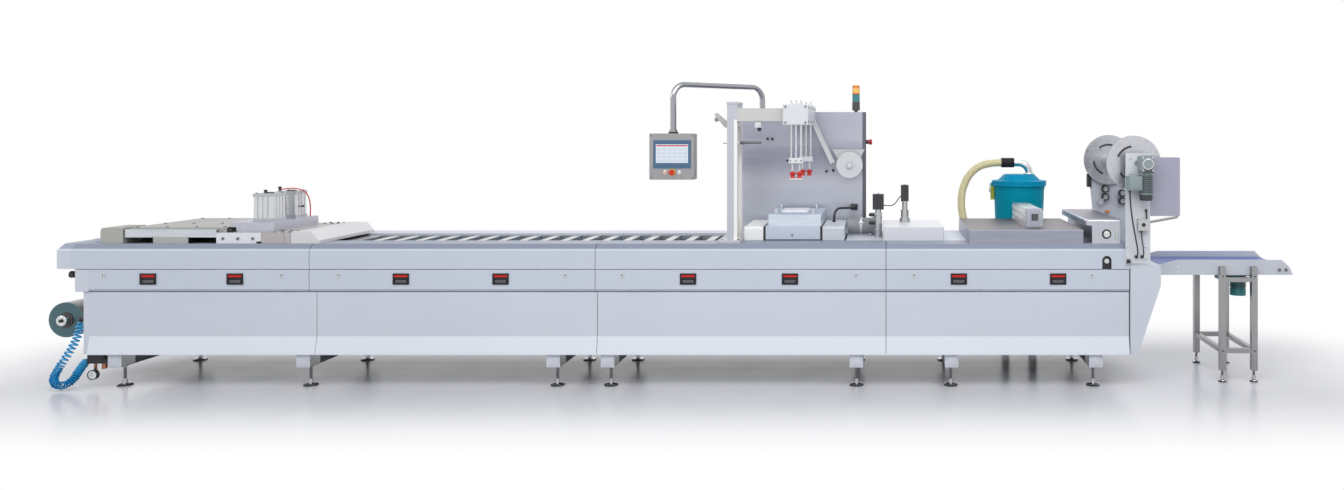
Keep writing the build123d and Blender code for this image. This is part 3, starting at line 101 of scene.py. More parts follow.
for name, where, aim, size, power in (
    ("key_lamp", (1.5, -4.6, 5.2), (0.2, 0, 0.9), (9, 3), 270),
    ("side_lamp", (-7.5, -3.0, 4.2), (-1, 0, 0.9), (3, 3), 90),
    ("back_lamp", (0.5, 4.5, 4.6), (0.2, 0, 0.9), (8, 2.5), 110),
):
    lamp_data = bpy.data.lights.new(name, "AREA")
    lamp_data.shape = "RECTANGLE"
    lamp_data.size, lamp_data.size_y = size
    lamp_data.energy = power
    lamp = bpy.data.objects.new(name, lamp_data)
    lamp.location = where
    lamp.rotation_euler = (Vector(aim) - Vector(where)).to_track_quat("-Z", "Y").to_euler()
    scene.collection.objects.link(lamp)

# The floor: smooth pale concrete, with a painted shadow that darkens it where the machine stands. It
# keeps the machine's shadow and a faint reflection, and runs out to white all round.


def finish(name, colour, roughness, metallic=0.0):
    """A new finish, with its shader and its tree."""
    material = bpy.data.materials.new(name)
    material.use_nodes = True
    tree = material.node_tree
    shader = tree.nodes["Principled BSDF"]
    shader.inputs["Base Color"].default_value = (*colour, 1)
    shader.inputs["Roughness"].default_value = roughness
    shader.inputs["Metallic"].default_value = metallic
    return material, tree, shader


def noise(tree, scale, detail=3, stretch=(1, 1, 1)):
    """Noise on the piece's own coordinates, stretched along its axes."""
    place = tree.nodes.new("ShaderNodeTexCoord")
    turn = tree.nodes.new("ShaderNodeMapping")
    turn.inputs["Scale"].default_value = stretch
    cloud = tree.nodes.new("ShaderNodeTexNoise")
    cloud.inputs["Scale"].default_value = scale
    cloud.inputs["Detail"].default_value = detail
    tree.links.new(place.outputs["Object"], turn.inputs["Vector"])
    tree.links.new(turn.outputs[0], cloud.inputs["Vector"])
    return cloud.outputs["Fac"]


def axes(tree):
    """Each point's place along the three axes, in metres."""
    place = tree.nodes.new("ShaderNodeTexCoord")
    split = tree.nodes.new("ShaderNodeSeparateXYZ")
    tree.links.new(place.outputs["Object"], split.inputs[0])
    return split.outputs


def spread(tree, value, low, high, start=0.3, end=0.7):
    """A value's range from start to end, carried to low and high."""
    carry = tree.nodes.new("ShaderNodeMapRange")
    carry.inputs["From Min"].default_value = start
    carry.inputs["From Max"].default_value = end
    carry.inputs["To Min"].default_value = low
    carry.inputs["To Max"].default_value = high
    tree.links.new(value, carry.inputs["Value"])
    return carry.outputs[0]


def two_tones(tree, value, first, second):
    """A colour that runs from the first tone to the second with a value."""
    mix = tree.nodes.new("ShaderNodeMix")
    mix.data_type = "RGBA"
    mix.inputs["A"].default_value = (*first, 1)
    mix.inputs["B"].default_value = (*second, 1)
    tree.links.new(value, mix.inputs["Factor"])
    return mix.outputs["Result"]


def over(material, mask, colour, roughness=None, metallic=None):
    """Lays a second finish over the first one where its mask is 1."""
    tree = material.node_tree
    shader = tree.nodes["Principled BSDF"]
    for socket, value in zip(("Base Color", "Roughness", "Metallic"), (colour, roughness, metallic)):
        if value is None:
            continue
        socket = shader.inputs[socket]
        mix = tree.nodes.new("ShaderNodeMix")
        mix.data_type = "RGBA" if value is colour else "FLOAT"
        mix.inputs["B"].default_value = (*value, 1) if value is colour else value
        mix.inputs["A"].default_value = socket.default_value
        if socket.is_linked:
            tree.links.new(socket.links[0].from_socket, mix.inputs["A"])
        tree.links.new(mask, mix.inputs["Factor"])
        tree.links.new(mix.outputs["Result"], socket)


floor_finish, tree, shader = finish("floor", (0.66, 0.66, 0.69), 0.22)
floor_tone = spread(tree, noise(tree, 0.8), 0, 1)
pale_tone = two_tones(tree, floor_tone, (0.64, 0.64, 0.67), (0.68, 0.68, 0.71))
tree.links.new(pale_tone, shader.inputs["Base Color"])
tree.links.new(spread(tree, noise(tree, 3), 0.2, 0.26), shader.inputs["Roughness"])
x, y, z = axes(tree)
# Painted shadow: the floor turns near black within 0.12 m of the machine's middle line, fading out by 0.5 m
# across it and 3.7 m along it.
painted_shadow_under_machine = spread(tree, reckon(tree, "ABSOLUTE", y), 1, 0, 0.12, 0.5)
from_middle = reckon(tree, "ABSOLUTE", reckon(tree, "ADD", x, 0.4))
painted_shadow_under_machine = reckon(tree, "MULTIPLY", painted_shadow_under_machine, spread(tree, from_middle, 1, 0, 3.3, 3.7))
over(floor_finish, painted_shadow_under_machine, (0.16, 0.16, 0.17))
half_length = 4.2
half_width = 0.5
off_end = reckon(tree, "SUBTRACT", reckon(tree, "ABSOLUTE", x), half_length)
off_side = reckon(tree, "ABSOLUTE", reckon(tree, "ADD", y, 0.17))
off_side = reckon(tree, "SUBTRACT", off_side, half_width)
squares = [reckon(tree, "POWER", reckon(tree, "MAXIMUM", off, 0), 2) for off in (off_end, off_side)]
fade = tree.nodes.new("ShaderNodeMapRange")
fade.interpolation_type = "SMOOTHSTEP"
fade.inputs["From Min"].default_value = 0.05
fade.inputs["From Max"].default_value = 1.45
tree.links.new(reckon(tree, "SQRT", reckon(tree, "ADD", *squares)), fade.inputs["Value"])
glow = tree.nodes.new("ShaderNodeEmission")
both = tree.nodes.new("ShaderNodeMixShader")
tree.links.new(reckon(tree, "MULTIPLY", fade.outputs[0], shown_plainly(tree)), both.inputs[0])
tree.links.new(shader.outputs[0], both.inputs[1])
tree.links.new(glow.outputs[0], both.inputs[2])
tree.links.new(both.outputs[0], tree.nodes["Material Output"].inputs["Surface"])
bpy.ops.mesh.primitive_plane_add(size=80, location=(0, 0, 0))
floor = bpy.context.object
floor.name = "floor"
floor.data.materials.append(floor_finish)
bpy.ops.object.select_all(action="DESELECT")

# Trim hose: a cream suction hose, wound with a hard spiral that stands out as ribs, from the
# suction elbow down to its socket on the back rail.


def hose(name, places, diameter, roundness=6, fineness=16):
    """A hose or cable as one smooth line through its places, with its diameter in millimetres."""
    line = bpy.data.curves.new(name, "CURVE")
    line.dimensions = "3D"
    line.bevel_depth = diameter / 2000
    line.bevel_resolution = roundness
    line.resolution_u = fineness
    line.use_fill_caps = True
    spline = line.splines.new("NURBS")
    spline.points.add(len(places) - 1)
    for point, place in zip(spline.points, places):
        point.co = (*place, 1)
    spline.order_u = 3
    spline.use_endpoint_u = True
    piece = bpy.data.objects.new(name, line)
    scene.collection.objects.link(piece)
    return piece


def walked(places):
    """The points along a route's smooth line, and how far along it each one lies."""
    guide = hose("guide", places, 0)
    walk = bpy.data.meshes.new_from_object(guide)
    steps = [vertex.co.copy() for vertex in walk.vertices]
    bpy.data.objects.remove(guide)
    bpy.data.meshes.remove(walk)
    travel = [0.0]
    for before, after in zip(steps, steps[1:]):
        travel.append(travel[-1] + (after - before).length)
    return steps, travel


def stations(steps, travel, distances):
    """Middle and heading of a line at each of a row of rising distances along it."""
    found = []
    i = 0
    for distance in distances:
        while i < len(travel) - 2 and travel[i + 1] < distance:
            i += 1
        heading = (steps[i + 1] - steps[i]).normalized()
        found.append((steps[i] + heading * (distance - travel[i]), heading))
    return found


trim_points = (
    (6480, 720, 1470), (6350, 720, 1470), (6230, 712, 1390), (6168, 698, 1260), (6160, 682, 1120),
    (6184, 660, 1000), (6226, 622, 922), (6258, 566, 886), (6275, 505, 880),
)
trim_route = [spot(*point) for point in trim_points]
rib_pitch = 0.0105
rings_per_rib = 4
crest_radius = 0.031
groove_radius = 0.0285
hose_sides = 24
steps, travel = walked(trim_route)
ring_count = round(travel[-1] / rib_pitch) * rings_per_rib
distances = [travel[-1] * i / ring_count for i in range(ring_count + 1)]
angles = [2 * math.pi * k / hose_sides for k in range(hose_sides)]
shell = bmesh.new()
side = Vector((0, 1, 0))
loops = []
for i, (middle, heading) in enumerate(stations(steps, travel, distances)):
    radius = crest_radius if i % rings_per_rib in (1, 2) else groove_radius
    side = (side - heading * side.dot(heading)).normalized()
    rise = heading.cross(side)
    spokes = [side * math.cos(angle) + rise * math.sin(angle) for angle in angles]
    loops.append([shell.verts.new(middle + radius * spoke) for spoke in spokes])
for near, far in zip(loops, loops[1:]):
    for k in range(hose_sides):
        after = (k + 1) % hose_sides
        shell.faces.new((near[k], near[after], far[after], far[k]))
shell.faces.new(reversed(loops[0]))
shell.faces.new(loops[-1])
bmesh.ops.recalc_face_normals(shell, faces=shell.faces)
trim_mesh = bpy.data.meshes.new("trim_hose_ribbed")
shell.to_mesh(trim_mesh)
shell.free()
trim_mesh.shade_smooth()
trim_hose = bpy.data.objects.new("trim_hose_ribbed", trim_mesh)
scene.collection.objects.link(trim_hose)
cream, tree, shader = finish("cream_hose", (0.66, 0.6, 0.34), 0.4)
cream_tone = two_tones(tree, noise(tree, 25), (0.6, 0.54, 0.3), (0.74, 0.68, 0.42))
tree.links.new(cream_tone, shader.inputs["Base Color"])
trim_mesh.materials.append(cream)
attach(trim_hose, "machine")
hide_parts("trim_hose")

# Air hose: a curly blue polyurethane tube that hangs from the infeed end, bunches up on the floor and
# comes up to the air unit. Its turns are wound round the hose's route, wider where it hangs.
air_points = (
    (90, -352, 425), (89, -362, 362), (81, -382, 302), (69, -410, 244), (55, -446, 186),
    (43, -484, 128), (38, -516, 74), (77, -537, 38), (133, -537, 38), (174, -513, 70),
    (169, -470, 112), (168, -430, 146), (167, -394, 172),
)
air_route = [spot(*point) for point in air_points]
bunched = 0.0125
air_pitches = (
    (0, 0.025), (0.37, 0.027), (0.45, bunched), (0.6, bunched), (0.66, 0.024), (0.76, bunched), (1, bunched),
)
steps_per_turn = 14
coil_radius = 0.021
tube_diameter = 11
steps, travel = walked(air_route)
whole = travel[-1]
distances = [0.0]
while distances[-1] < whole:
    share = distances[-1] / whole
    for (a, pitch_a), (b, pitch_b) in zip(air_pitches, air_pitches[1:]):
        if a <= share <= b:
            pitch = pitch_a + (pitch_b - pitch_a) * (share - a) / (b - a)
    distances.append(distances[-1] + pitch / steps_per_turn)
distances = [distance * whole / distances[-1] for distance in distances]
wound = []
side = Vector((1, 0, 0))
for i, (middle, heading) in enumerate(stations(steps, travel, distances)):
    side = (side - heading * side.dot(heading)).normalized()
    angle = 2 * math.pi * i / steps_per_turn
    ease = min(1, i / 10, (len(distances) - 1 - i) / 10)
    reach = coil_radius * ease * (1 + 0.06 * math.sin(0.37 * angle))
    wound.append(middle + reach * (side * math.cos(angle) + heading.cross(side) * math.sin(angle)))
air_hose = hose("air_hose_line", wound, tube_diameter, 2, 2)
blue_tube, tree, shader = finish("blue_tube", (0.0, 0.3, 0.7), 0.32)
# Painted light and shade: the tube is coloured darker below 0.1 m, where it lies on the floor, and lighter
# above 0.2 m.
painted_light_above_floor = spread(tree, axes(tree)[2], 0, 1, 0.1, 0.2)
tree.links.new(two_tones(tree, painted_light_above_floor, (0.0, 0.2, 0.46), (0.06, 0.42, 0.74)), shader.inputs["Base Color"])
shader.inputs["Specular IOR Level"].default_value = 0.3
air_hose.data.materials.append(blue_tube)
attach(air_hose, "machine")
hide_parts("air_hose")

# The line's thin cords: the black hose behind the sealing station, the two cables on the winder's
# plate, the cable between the valves, and the red air tube over the rear cylinder.
black_cord, tree, shader = finish("black_cord", (0.015, 0.015, 0.017), 0.4)
tree.links.new(spread(tree, noise(tree, 90), 0.34, 0.5), shader.inputs["Roughness"])
red_tube, tree, shader = finish("red_tube", (0.6, 0.03, 0.03), 0.25)
tree.links.new(spread(tree, noise(tree, 90), 0.2, 0.34), shader.inputs["Roughness"])
sealing_points = (
    (5190, 144, 1068), (5190, 144, 1102), (5199, 160, 1133), (5215, 187, 1151), (5241, 229, 1152),
    (5275, 265, 1149), (5307, 295, 1150), (5324, 317, 1151), (5330, 344, 1150),
)
motor_points = (
    (7176, -540, 1316), (7180, -541, 1225), (7196, -539, 1115), (7216, -535, 1010), (7230, -530, 940),
    (7234, -524, 905), (7230, -503, 884),
)
switch_points = (
    (7262, -508, 1048), (7263, -512, 1000), (7270, -520, 950), (7272, -526, 912), (7270, -519, 890),
    (7268, -503, 884),
)
tube_points = (
    (1271, -50, 1306), (1305, -42, 1312), (1345, -26, 1314), (1383, -6, 1305), (1410, 14, 1280),
    (1421, 32, 1244), (1422, 46, 1200), (1418, 56, 1152), (1414, 60, 1104),
)
valve_points = (
    (5552, 0, 1190), (5578, 4, 1186), (5603, 18, 1184), (5626, 40, 1192), (5644, 64, 1210),
    (5658, 84, 1232), (5676, 100, 1249),
)
for name, points, diameter, length, material, slot in (
    ("sealing_hose", sealing_points, 17, 0.302, black_cord, "black_rubber"),
    ("motor_cable", motor_points, 10, 0.445, black_cord, "black_rubber"),
    ("switch_cable", switch_points, 8, 0.177, black_cord, "black_rubber"),
    ("air_tube", tube_points, 8, 0.348, red_tube, "red_paint"),
    ("valve_cable", valve_points, 7, 0.184, black_cord, "black_rubber"),
):
    route = [spot(*point) for point in points]
    piece = hose(name + "_line", route, diameter)
    piece.data.materials.append(material)
    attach(piece, "machine")
    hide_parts(name)

# The body: sheet-steel panels on a closed core, powder-coated in a cool white, with painted light that
# makes the skirt lighter. The outfeed nose is one rounded piece, and the bed's covers lie flush between the
# rails.


def dress(names, material):
    """Gives CAD nodes their finish."""
    for name in names.split():
        slots = nodes[name].data.materials
        slots.clear()
        slots.append(material)


def relief(tree, shader, height, depth, strength):
    """A fine relief on the finish."""
    bump = tree.nodes.new("ShaderNodeBump")
    bump.inputs["Strength"].default_value = strength
    bump.inputs["Distance"].default_value = depth
    tree.links.new(height, bump.inputs["Height"])
    tree.links.new(bump.outputs[0], shader.inputs["Normal"])


def paint(name, colour, roughness):
    """Powder-coated sheet: an even colour with a faint cloud, and a fine orange peel."""
    material, tree, shader = finish(name, colour, roughness)
    cloud = noise(tree, 1.7, 4)
    dark = [c * 0.965 for c in colour]
    tree.links.new(two_tones(tree, spread(tree, cloud, 0, 1), dark, colour), shader.inputs["Base Color"])
    tree.links.new(spread(tree, cloud, roughness - 0.04, roughness + 0.05), shader.inputs["Roughness"])
    relief(tree, shader, noise(tree, 330, 2), 0.00006, 0.35)
    return material


def offset(tree, centre, keep=(1, 1, 1)):
    """Each point's offset from a centre, with only the axes that are kept."""
    place = tree.nodes.new("ShaderNodeTexCoord")
    away = tree.nodes.new("ShaderNodeVectorMath")
    away.operation = "SUBTRACT"
    away.inputs[1].default_value = centre
    flat = tree.nodes.new("ShaderNodeVectorMath")
    flat.operation = "MULTIPLY"
    flat.inputs[1].default_value = keep
    tree.links.new(place.outputs["Object"], away.inputs[0])
    tree.links.new(away.outputs[0], flat.inputs[0])
    return flat.outputs[0]


def inside(material, low, high):
    """1 within the box between two corners, in millimetres, and 0 outside it."""
    tree = material.node_tree
    low, high = spot(*low), spot(*high)
    far = tree.nodes.new("ShaderNodeVectorMath")
    far.operation = "ABSOLUTE"
    tree.links.new(offset(tree, (low + high) / 2), far.inputs[0])
    past = tree.nodes.new("ShaderNodeVectorMath")
    past.operation = "SUBTRACT"
    past.inputs[1].default_value = (high - low) / 2
    tree.links.new(far.outputs[0], past.inputs[0])
    split = tree.nodes.new("ShaderNodeSeparateXYZ")
    tree.links.new(past.outputs[0], split.inputs[0])
    worst = reckon(tree, "MAXIMUM", split.outputs[0], split.outputs[1])
    return reckon(tree, "LESS_THAN", reckon(tree, "MAXIMUM", worst, split.outputs[2]), 0)


def zone(material, low, high, colour, roughness=None, metallic=None):
    """Lays a second finish over the first one within the box between two corners."""
    over(material, inside(material, low, high), colour, roughness, metallic)


white_panel = paint("white_panel", (0.6, 0.635, 0.7), 0.42)
# Painted light: the flared skirt, between 225 and 350 mm above the floor, is coloured lighter than the panels
# above it.
zone(white_panel, (0, -600, 225), (7190, 900, 349.6), (0.71, 0.745, 0.8))
dress("machine_base lower_panels end_nose bed_covers", white_panel)

# The rails: thick folded sheet, whose bevelled front edge is painted darker than the face as shade.
# A bolt sits in the arched recess, painted black as shade, and the trim hose's socket on the back rail is
# bare steel.


def circled(material, centre, radius):
    """1 within a radius of the axis that runs across the machine through a centre, and 0 outside it."""
    tree = material.node_tree
    length = tree.nodes.new("ShaderNodeVectorMath")
    length.operation = "LENGTH"
    tree.links.new(offset(tree, spot(*centre), (1, 0, 1)), length.inputs[0])
    return reckon(tree, "LESS_THAN", length.outputs["Value"], radius / 1000)


def meet(material, first, *others):
    """Where all masks are 1."""
    for mask in others:
        first = reckon(material.node_tree, "MULTIPLY", first, mask)
    return first


black = (0.02, 0.02, 0.022)
rail_paint = paint("rail_grey", (0.555, 0.6, 0.68), 0.42)
# Painted shade: the front rail's bevelled top edge is coloured darker than its face.
zone(rail_paint, (-300, -600, 934), (9000, 0, 1000), (0.23, 0.265, 0.34))
# Painted shade: the arched recess is coloured black round its bolt.
painted_shade_arch = inside(rail_paint, (7000, -474.4, 790), (7078, -440, 900))
over(rail_paint, painted_shade_arch, black, 0.6)
arch_bolt = meet(rail_paint, painted_shade_arch, circled(rail_paint, (7039, 0, 853), 16.5))
over(rail_paint, arch_bolt, (0.6, 0.61, 0.62), 0.25, 1.0)
zone(rail_paint, (6230, 475.4, 830), (6320, 600, 930), (0.5, 0.51, 0.52), 0.3, 1.0)
dress("side_rails", rail_paint)

# Upper panels, and in them the compression latches: a black frame round a sunk tray, with a red
# strip to press and a grey grip under it. Beside them sit round quarter-turn locks.


def plastic(name, colour, roughness=0.45, depth=0.00005):
    """Moulded plastic or rubber with a fine grain."""
    material, tree, shader = finish(name, colour, roughness)
    cloud = noise(tree, 9, 3)
    dark = [c * 0.9 for c in colour]
    tree.links.new(two_tones(tree, spread(tree, cloud, 0, 1), dark, colour), shader.inputs["Base Color"])
    tree.links.new(spread(tree, cloud, roughness - 0.05, roughness + 0.06), shader.inputs["Roughness"])
    relief(tree, shader, noise(tree, 420, 2), depth, 0.4)
    return material


def brushed(name, colour, roughness, along=(1, 1, 1), scale=60):
    """Brushed steel or aluminium, with its grain drawn out along one axis."""
    material, tree, shader = finish(name, colour, roughness, 1.0)
    grain = noise(tree, scale, 5, along)
    dark = [c * 0.88 for c in colour]
    tree.links.new(two_tones(tree, spread(tree, grain, 0, 1), dark, colour), shader.inputs["Base Color"])
    cloud = spread(tree, noise(tree, 2.5, 3), -0.03, 0.05)
    fine = spread(tree, grain, roughness - 0.07, roughness + 0.05)
    tree.links.new(reckon(tree, "ADD", fine, cloud), shader.inputs["Roughness"])
    relief(tree, shader, grain, 0.00003, 0.3)
    return material


def tune(material, name, value):
    """Sets one value of a finish's shader."""
    material.node_tree.nodes["Principled BSDF"].inputs[name].default_value = value


def block(name, low, high):
    """A block between two corners, in millimetres, for the tools to shape."""
    low, high = spot(*low), spot(*high)
    bpy.ops.mesh.primitive_cube_add(size=1, location=(low + high) / 2, scale=high - low)
    piece = bpy.context.object
    piece.name = name
    bpy.ops.object.transform_apply(location=True, rotation=True, scale=True)
    return piece


def pick(piece, rule):
    """In edit mode, selects the faces that a rule on their normal and middle chooses."""
    shape = bmesh.from_edit_mesh(piece.data)
    for part in (*shape.verts, *shape.edges, *shape.faces):
        part.select = False
    for face in shape.faces:
        if rule(face.normal, face.calc_center_median()):
            face.select_set(True)
    bmesh.update_edit_mesh(piece.data)


def press(piece, facing, margin, travel):
    """Insets the faces that look one way, and pushes them in, or out where travel is positive."""
    facing = Vector(facing).normalized()
    bpy.ops.object.mode_set(mode="EDIT")
    bpy.ops.mesh.select_mode(type="FACE")
    level = max(piece.data.vertices, key=lambda v: v.co.dot(facing)).co.dot(facing)
    pick(piece, lambda normal, middle: normal.dot(facing) > 0.95 and middle.dot(facing) > level - 0.0002)
    bpy.ops.mesh.inset(thickness=margin / 1000)
    bpy.ops.mesh.extrude_region_move(TRANSFORM_OT_translate={"value": facing * travel / 1000})
    bpy.ops.object.mode_set(mode="OBJECT")


def repeated(piece, moves):
    """Copies of a piece, each with its own mesh, moved in millimetres and joined to it."""
    bpy.ops.object.select_all(action="DESELECT")
    for move in moves:
        other = piece.copy()
        other.data = piece.data.copy()
        other.data.transform(Matrix.Translation(Vector(move) / 1000))
        scene.collection.objects.link(other)
        other.select_set(True)
    piece.select_set(True)
    bpy.context.view_layer.objects.active = piece
    bpy.ops.object.join()


def complete(piece, material, edge, body="machine"):
    """Eases a piece's edges, smooths it, and gives it its finish and the body that it rides on."""
    bpy.ops.object.select_all(action="DESELECT")
    piece.select_set(True)
    bpy.context.view_layer.objects.active = piece
    bpy.ops.object.modifier_add(type="BEVEL")
    ease = piece.modifiers[-1]
    ease.width = edge / 1000
    ease.segments = 2
    ease.limit_method = "ANGLE"
    bpy.ops.object.modifier_apply(modifier=ease.name)
    bpy.ops.object.shade_smooth_by_angle(angle=math.radians(35))
    piece.data.materials.clear()
    piece.data.materials.append(material)
    bpy.ops.object.select_all(action="DESELECT")
    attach(piece, body)


def made(piece, facing, margin, travel, material, edge, moves=(), body="machine"):
    """Presses a piece's face, adds its copies and completes it."""
    press(piece, facing, margin, travel)
    if moves:
        repeated(piece, moves)
    complete(piece, material, edge, body)


latch_x = (640, 1220, 2328, 2993, 4244, 4924, 6051, 6713)
lock_x = (339, 1527, 1908, 3423, 3803, 5365, 5752, 6940)
latch_z = 734
lock_z = 760
tray_half = 45
tray_rise = 28
tray_depth = 12
panel_face = 475
dress("upper_panels", paint("upper_panel", (0.56, 0.605, 0.685), 0.42))
black_plastic = plastic("black_plastic", (0.018, 0.018, 0.02))
grey_plastic = plastic("grey_plastic", (0.32, 0.33, 0.35))
bright_steel = brushed("bright_steel", (0.7, 0.71, 0.72), 0.22)
grip_grey = plastic("latch_grip", (0.13, 0.13, 0.14), 0.4)
latch_paint = plastic("latch_frame", (0.018, 0.018, 0.02))
tune(latch_paint, "Specular IOR Level", 0.2)
strip_top = latch_z + tray_rise - 0.4
for x in latch_x:
    zone(latch_paint, (x - 44.6, -600, latch_z + 12), (x + 44.6, 900, strip_top), (0.55, 0.02, 0.015), 0.35)
for x in lock_x:
    over(latch_paint, circled(latch_paint, (x, 0, lock_z), 15), (0.62, 0.63, 0.64), 0.25, 1.0)
    over(latch_paint, circled(latch_paint, (x, 0, lock_z), 5), (0.03, 0.03, 0.03), 0.5, 0.0)
dress("panel_latches", latch_paint)
x = latch_x[0]
others = [(other - x, 0, 0) for other in latch_x[1:]]
for side, end in ((-1, "front"), (1, "back")):
    near, far = sorted((side * (panel_face - tray_depth), side * (panel_face - 1)))
    low = (x - tray_half + 0.3, near, latch_z - tray_rise + 0.3)
    tray = block("latch_trays_" + end, low, (x + tray_half - 0.3, far, latch_z + tray_rise - 0.3))
    made(tray, (0, side, 0), 3, -6, black_plastic, 0.6, others)
    near, far = sorted((side * (panel_face - 8), side * (panel_face + 3)))
    grip = block("latch_grips_" + end, (x - 36, near, latch_z - 25), (x + 36, far, latch_z - 8))
    made(grip, (0, side, 0), 5, -5, grip_grey, 1.2, others)

# The feet: stainless levelling feet with a disc on the floor, a cone and a threaded rod, whose lock
# nut sits under the square tubes that run across the machine. White caps close the tubes.


def bar(name, start, facing, radius, length, sides):
    """A round bar from a start along a direction, in millimetres, for the tools to shape."""
    facing = Vector(facing).normalized()
    middle = spot(*start) + facing * length / 2000
    turn = facing.to_track_quat("Z", "Y").to_euler()
    bpy.ops.mesh.primitive_cylinder_add(
        vertices=sides, radius=radius / 1000, depth=length / 1000, location=middle, rotation=turn
    )
    piece = bpy.context.object
    piece.name = name
    bpy.ops.object.transform_apply(location=True, rotation=True, scale=True)
    return piece


left, right = (-1, 0, 0), (1, 0, 0)
front, rear = (0, -1, 0), (0, 1, 0)
down, up = (0, 0, -1), (0, 0, 1)
foot_steel = brushed("foot_steel", (0.45, 0.46, 0.47), 0.24)
zone(foot_steel, (-500, -900, -5), (9000, 1200, 9), (0.035, 0.035, 0.04), 0.35, 0.2)
zone(foot_steel, (-500, -900, 46.4), (9000, 1200, 200), (0.16, 0.16, 0.17), 0.18)
dress("levelling_feet", foot_steel)
foot_x = (408, 1668, 3340, 3703, 5366, 6004, 6968)
foot_y = 372
nut = bar("foot_nuts", (foot_x[0], -foot_y, 127), up, 17, 12, 6)
others = [(x - foot_x[0], y + foot_y, 0) for x in foot_x for y in (-foot_y, foot_y)][1:]
made(nut, down, 4, 3, bright_steel, 1, others)
tube_steel = brushed("tube_steel", (0.5, 0.51, 0.52), 0.3, (1, 0.08, 1), 120)
for near, far in ((-600, -464), (464, 900)):
    zone(tube_steel, (0, near, 100), (7400, far, 260), (0.72, 0.74, 0.78), 0.5, 0.0)
# Painted shade: the cross tubes are coloured near black where they run under the machine, within 340 mm of
# its middle.
zone(tube_steel, (0, -340, 100), (7400, 340, 260), (0.07, 0.07, 0.075), 0.6, 0.0)
dress("cross_tubes", tube_steel)
cap = block("tube_caps", (foot_x[0] - 40, -470.5, 145), (foot_x[0] + 40, -467, 225))
cap_white = plastic("tube_cap", (0.62, 0.65, 0.7), 0.5)
made(cap, front, 7, 1.4, cap_white, 0.8, [(x - foot_x[0], 0, 0) for x in foot_x[1:]])

# Infeed end: the rounded head and panels in the machine's white, with a black knob to free the film
# brake and the black elbow that the air hose leaves from.
end_paint = paint("infeed_white", (0.6, 0.635, 0.7), 0.42)
# Painted shade: the head's bevelled top edge is coloured darker than its face.
zone(end_paint, (20, -600, 934), (9000, 900, 1000), (0.3, 0.34, 0.42))
zone(end_paint, (60, -430, 725), (132, -370, 785), black, 0.4)
zone(end_paint, (60, -380, 410), (182, -330, 470), black, 0.4)
dress("infeed_end", end_paint)
grip = bar("end_knob_grip", (64, -400, 754), right, 24, 10, 12)
made(grip, left, 7, 4, black_plastic, 2.5)

# Film roll: clear film wound on a dark card core, so that its ends look deep teal and its side a
# brownish grey, on a steel spindle whose bright hub is held by one bolt.


def beyond(material, centre, radius):
    """0 within a radius of the axis that runs across the machine through a centre, and 1 outside it."""
    return reckon(material.node_tree, "SUBTRACT", 1, circled(material, centre, radius))


def knob(
    name, start, facing, radius, length, sides, margin, travel, material, slot, edge, moves=(), body="machine"
):
    """A round fitting: a bar whose far end is pressed, with its copies, completed."""
    piece = bar(name, start, facing, radius, length, sides)
    made(piece, facing, margin, travel, material, edge, moves, body)


roll = (-125, 0, 410)
film_end, tree, shader = finish("film_roll", (0.24, 0.22, 0.21), 0.2)
length = tree.nodes.new("ShaderNodeVectorMath")
length.operation = "LENGTH"
tree.links.new(offset(tree, spot(*roll), (1, 0, 1)), length.inputs[0])
layers = reckon(tree, "SINE", reckon(tree, "MULTIPLY", length.outputs["Value"], 2600))
side_tone = spread(tree, noise(tree, 14, 3, (1, 0.25, 1)), 0, 1)
film_tone = two_tones(tree, side_tone, (0.17, 0.155, 0.15), (0.3, 0.28, 0.27))
tree.links.new(film_tone, shader.inputs["Base Color"])
tune(film_end, "Coat Weight", 0.6)
for near, far in ((-400, -209.6), (209.6, 400)):
    face = inside(film_end, (-300, near, 200), (100, far, 600))
    over(film_end, face, (0.02, 0.1, 0.12), 0.32)
    over(film_end, meet(film_end, face, beyond(film_end, roll, 116)), (0.05, 0.15, 0.17), 0.25)
    over(film_end, meet(film_end, face, circled(film_end, roll, 52)), (0.035, 0.02, 0.012), 0.6)
    over(film_end, meet(film_end, face, circled(film_end, roll, 42.5)), (0.2, 0.19, 0.18), 0.5)
relief(tree, shader, layers, 0.0002, 0.25)
dress("film_roll", film_end)
hub_steel = brushed("hub_steel", (0.72, 0.73, 0.74), 0.2)
hub_end = inside(hub_steel, (-300, -300, 300), (0, -253, 500))
hub_bolt = meet(hub_steel, circled(hub_steel, roll, 11.5), hub_end)
over(hub_steel, hub_bolt, black, 0.4, 0.3)
dress("roll_stand", hub_steel)
knob("hub_ring", (-125, -253.6, 410), front, 28, 3, 40, 7, -2, hub_steel, "stainless", 0.8)

# Air unit: a black regulator block that hangs under the core, with its brass bowls and drain below
# and a white gauge in a dark rim before them.
gauge = (238, 0, 84)
air_paint = plastic("air_unit", (0.018, 0.018, 0.02))
zone(air_paint, (150, -460, 40), (345, -340, 157.6), (0.42, 0.2, 0.1), 0.3, 1.0)
zone(air_paint, (200, -441, 40), (275, -415, 125), (0.05, 0.05, 0.055), 0.35, 0.3)
dial = meet(air_paint, inside(air_paint, (200, -441, 40), (275, -439.4, 125)), circled(air_paint, gauge, 28))
over(air_paint, dial, (0.82, 0.83, 0.84), 0.4, 0.0)
needle = meet(air_paint, dial, inside(air_paint, (236.5, -441, 80), (239.5, -439, 104)))
over(air_paint, needle, (0.02, 0.02, 0.02), 0.4)
dress("air_unit", air_paint)
gauge_face = plastic("gauge_ring", (0.04, 0.04, 0.045), 0.3)
glass = inside(gauge_face, (200, -440, 40), (275, -439.2, 125))
glass = meet(gauge_face, glass, circled(gauge_face, gauge, 28.6))
over(gauge_face, glass, (0.8, 0.81, 0.83), 0.25)
needle = meet(gauge_face, glass, inside(gauge_face, (236.5, -441, 80), (239.5, -439, 106)))
over(gauge_face, needle, (0.02, 0.02, 0.02))
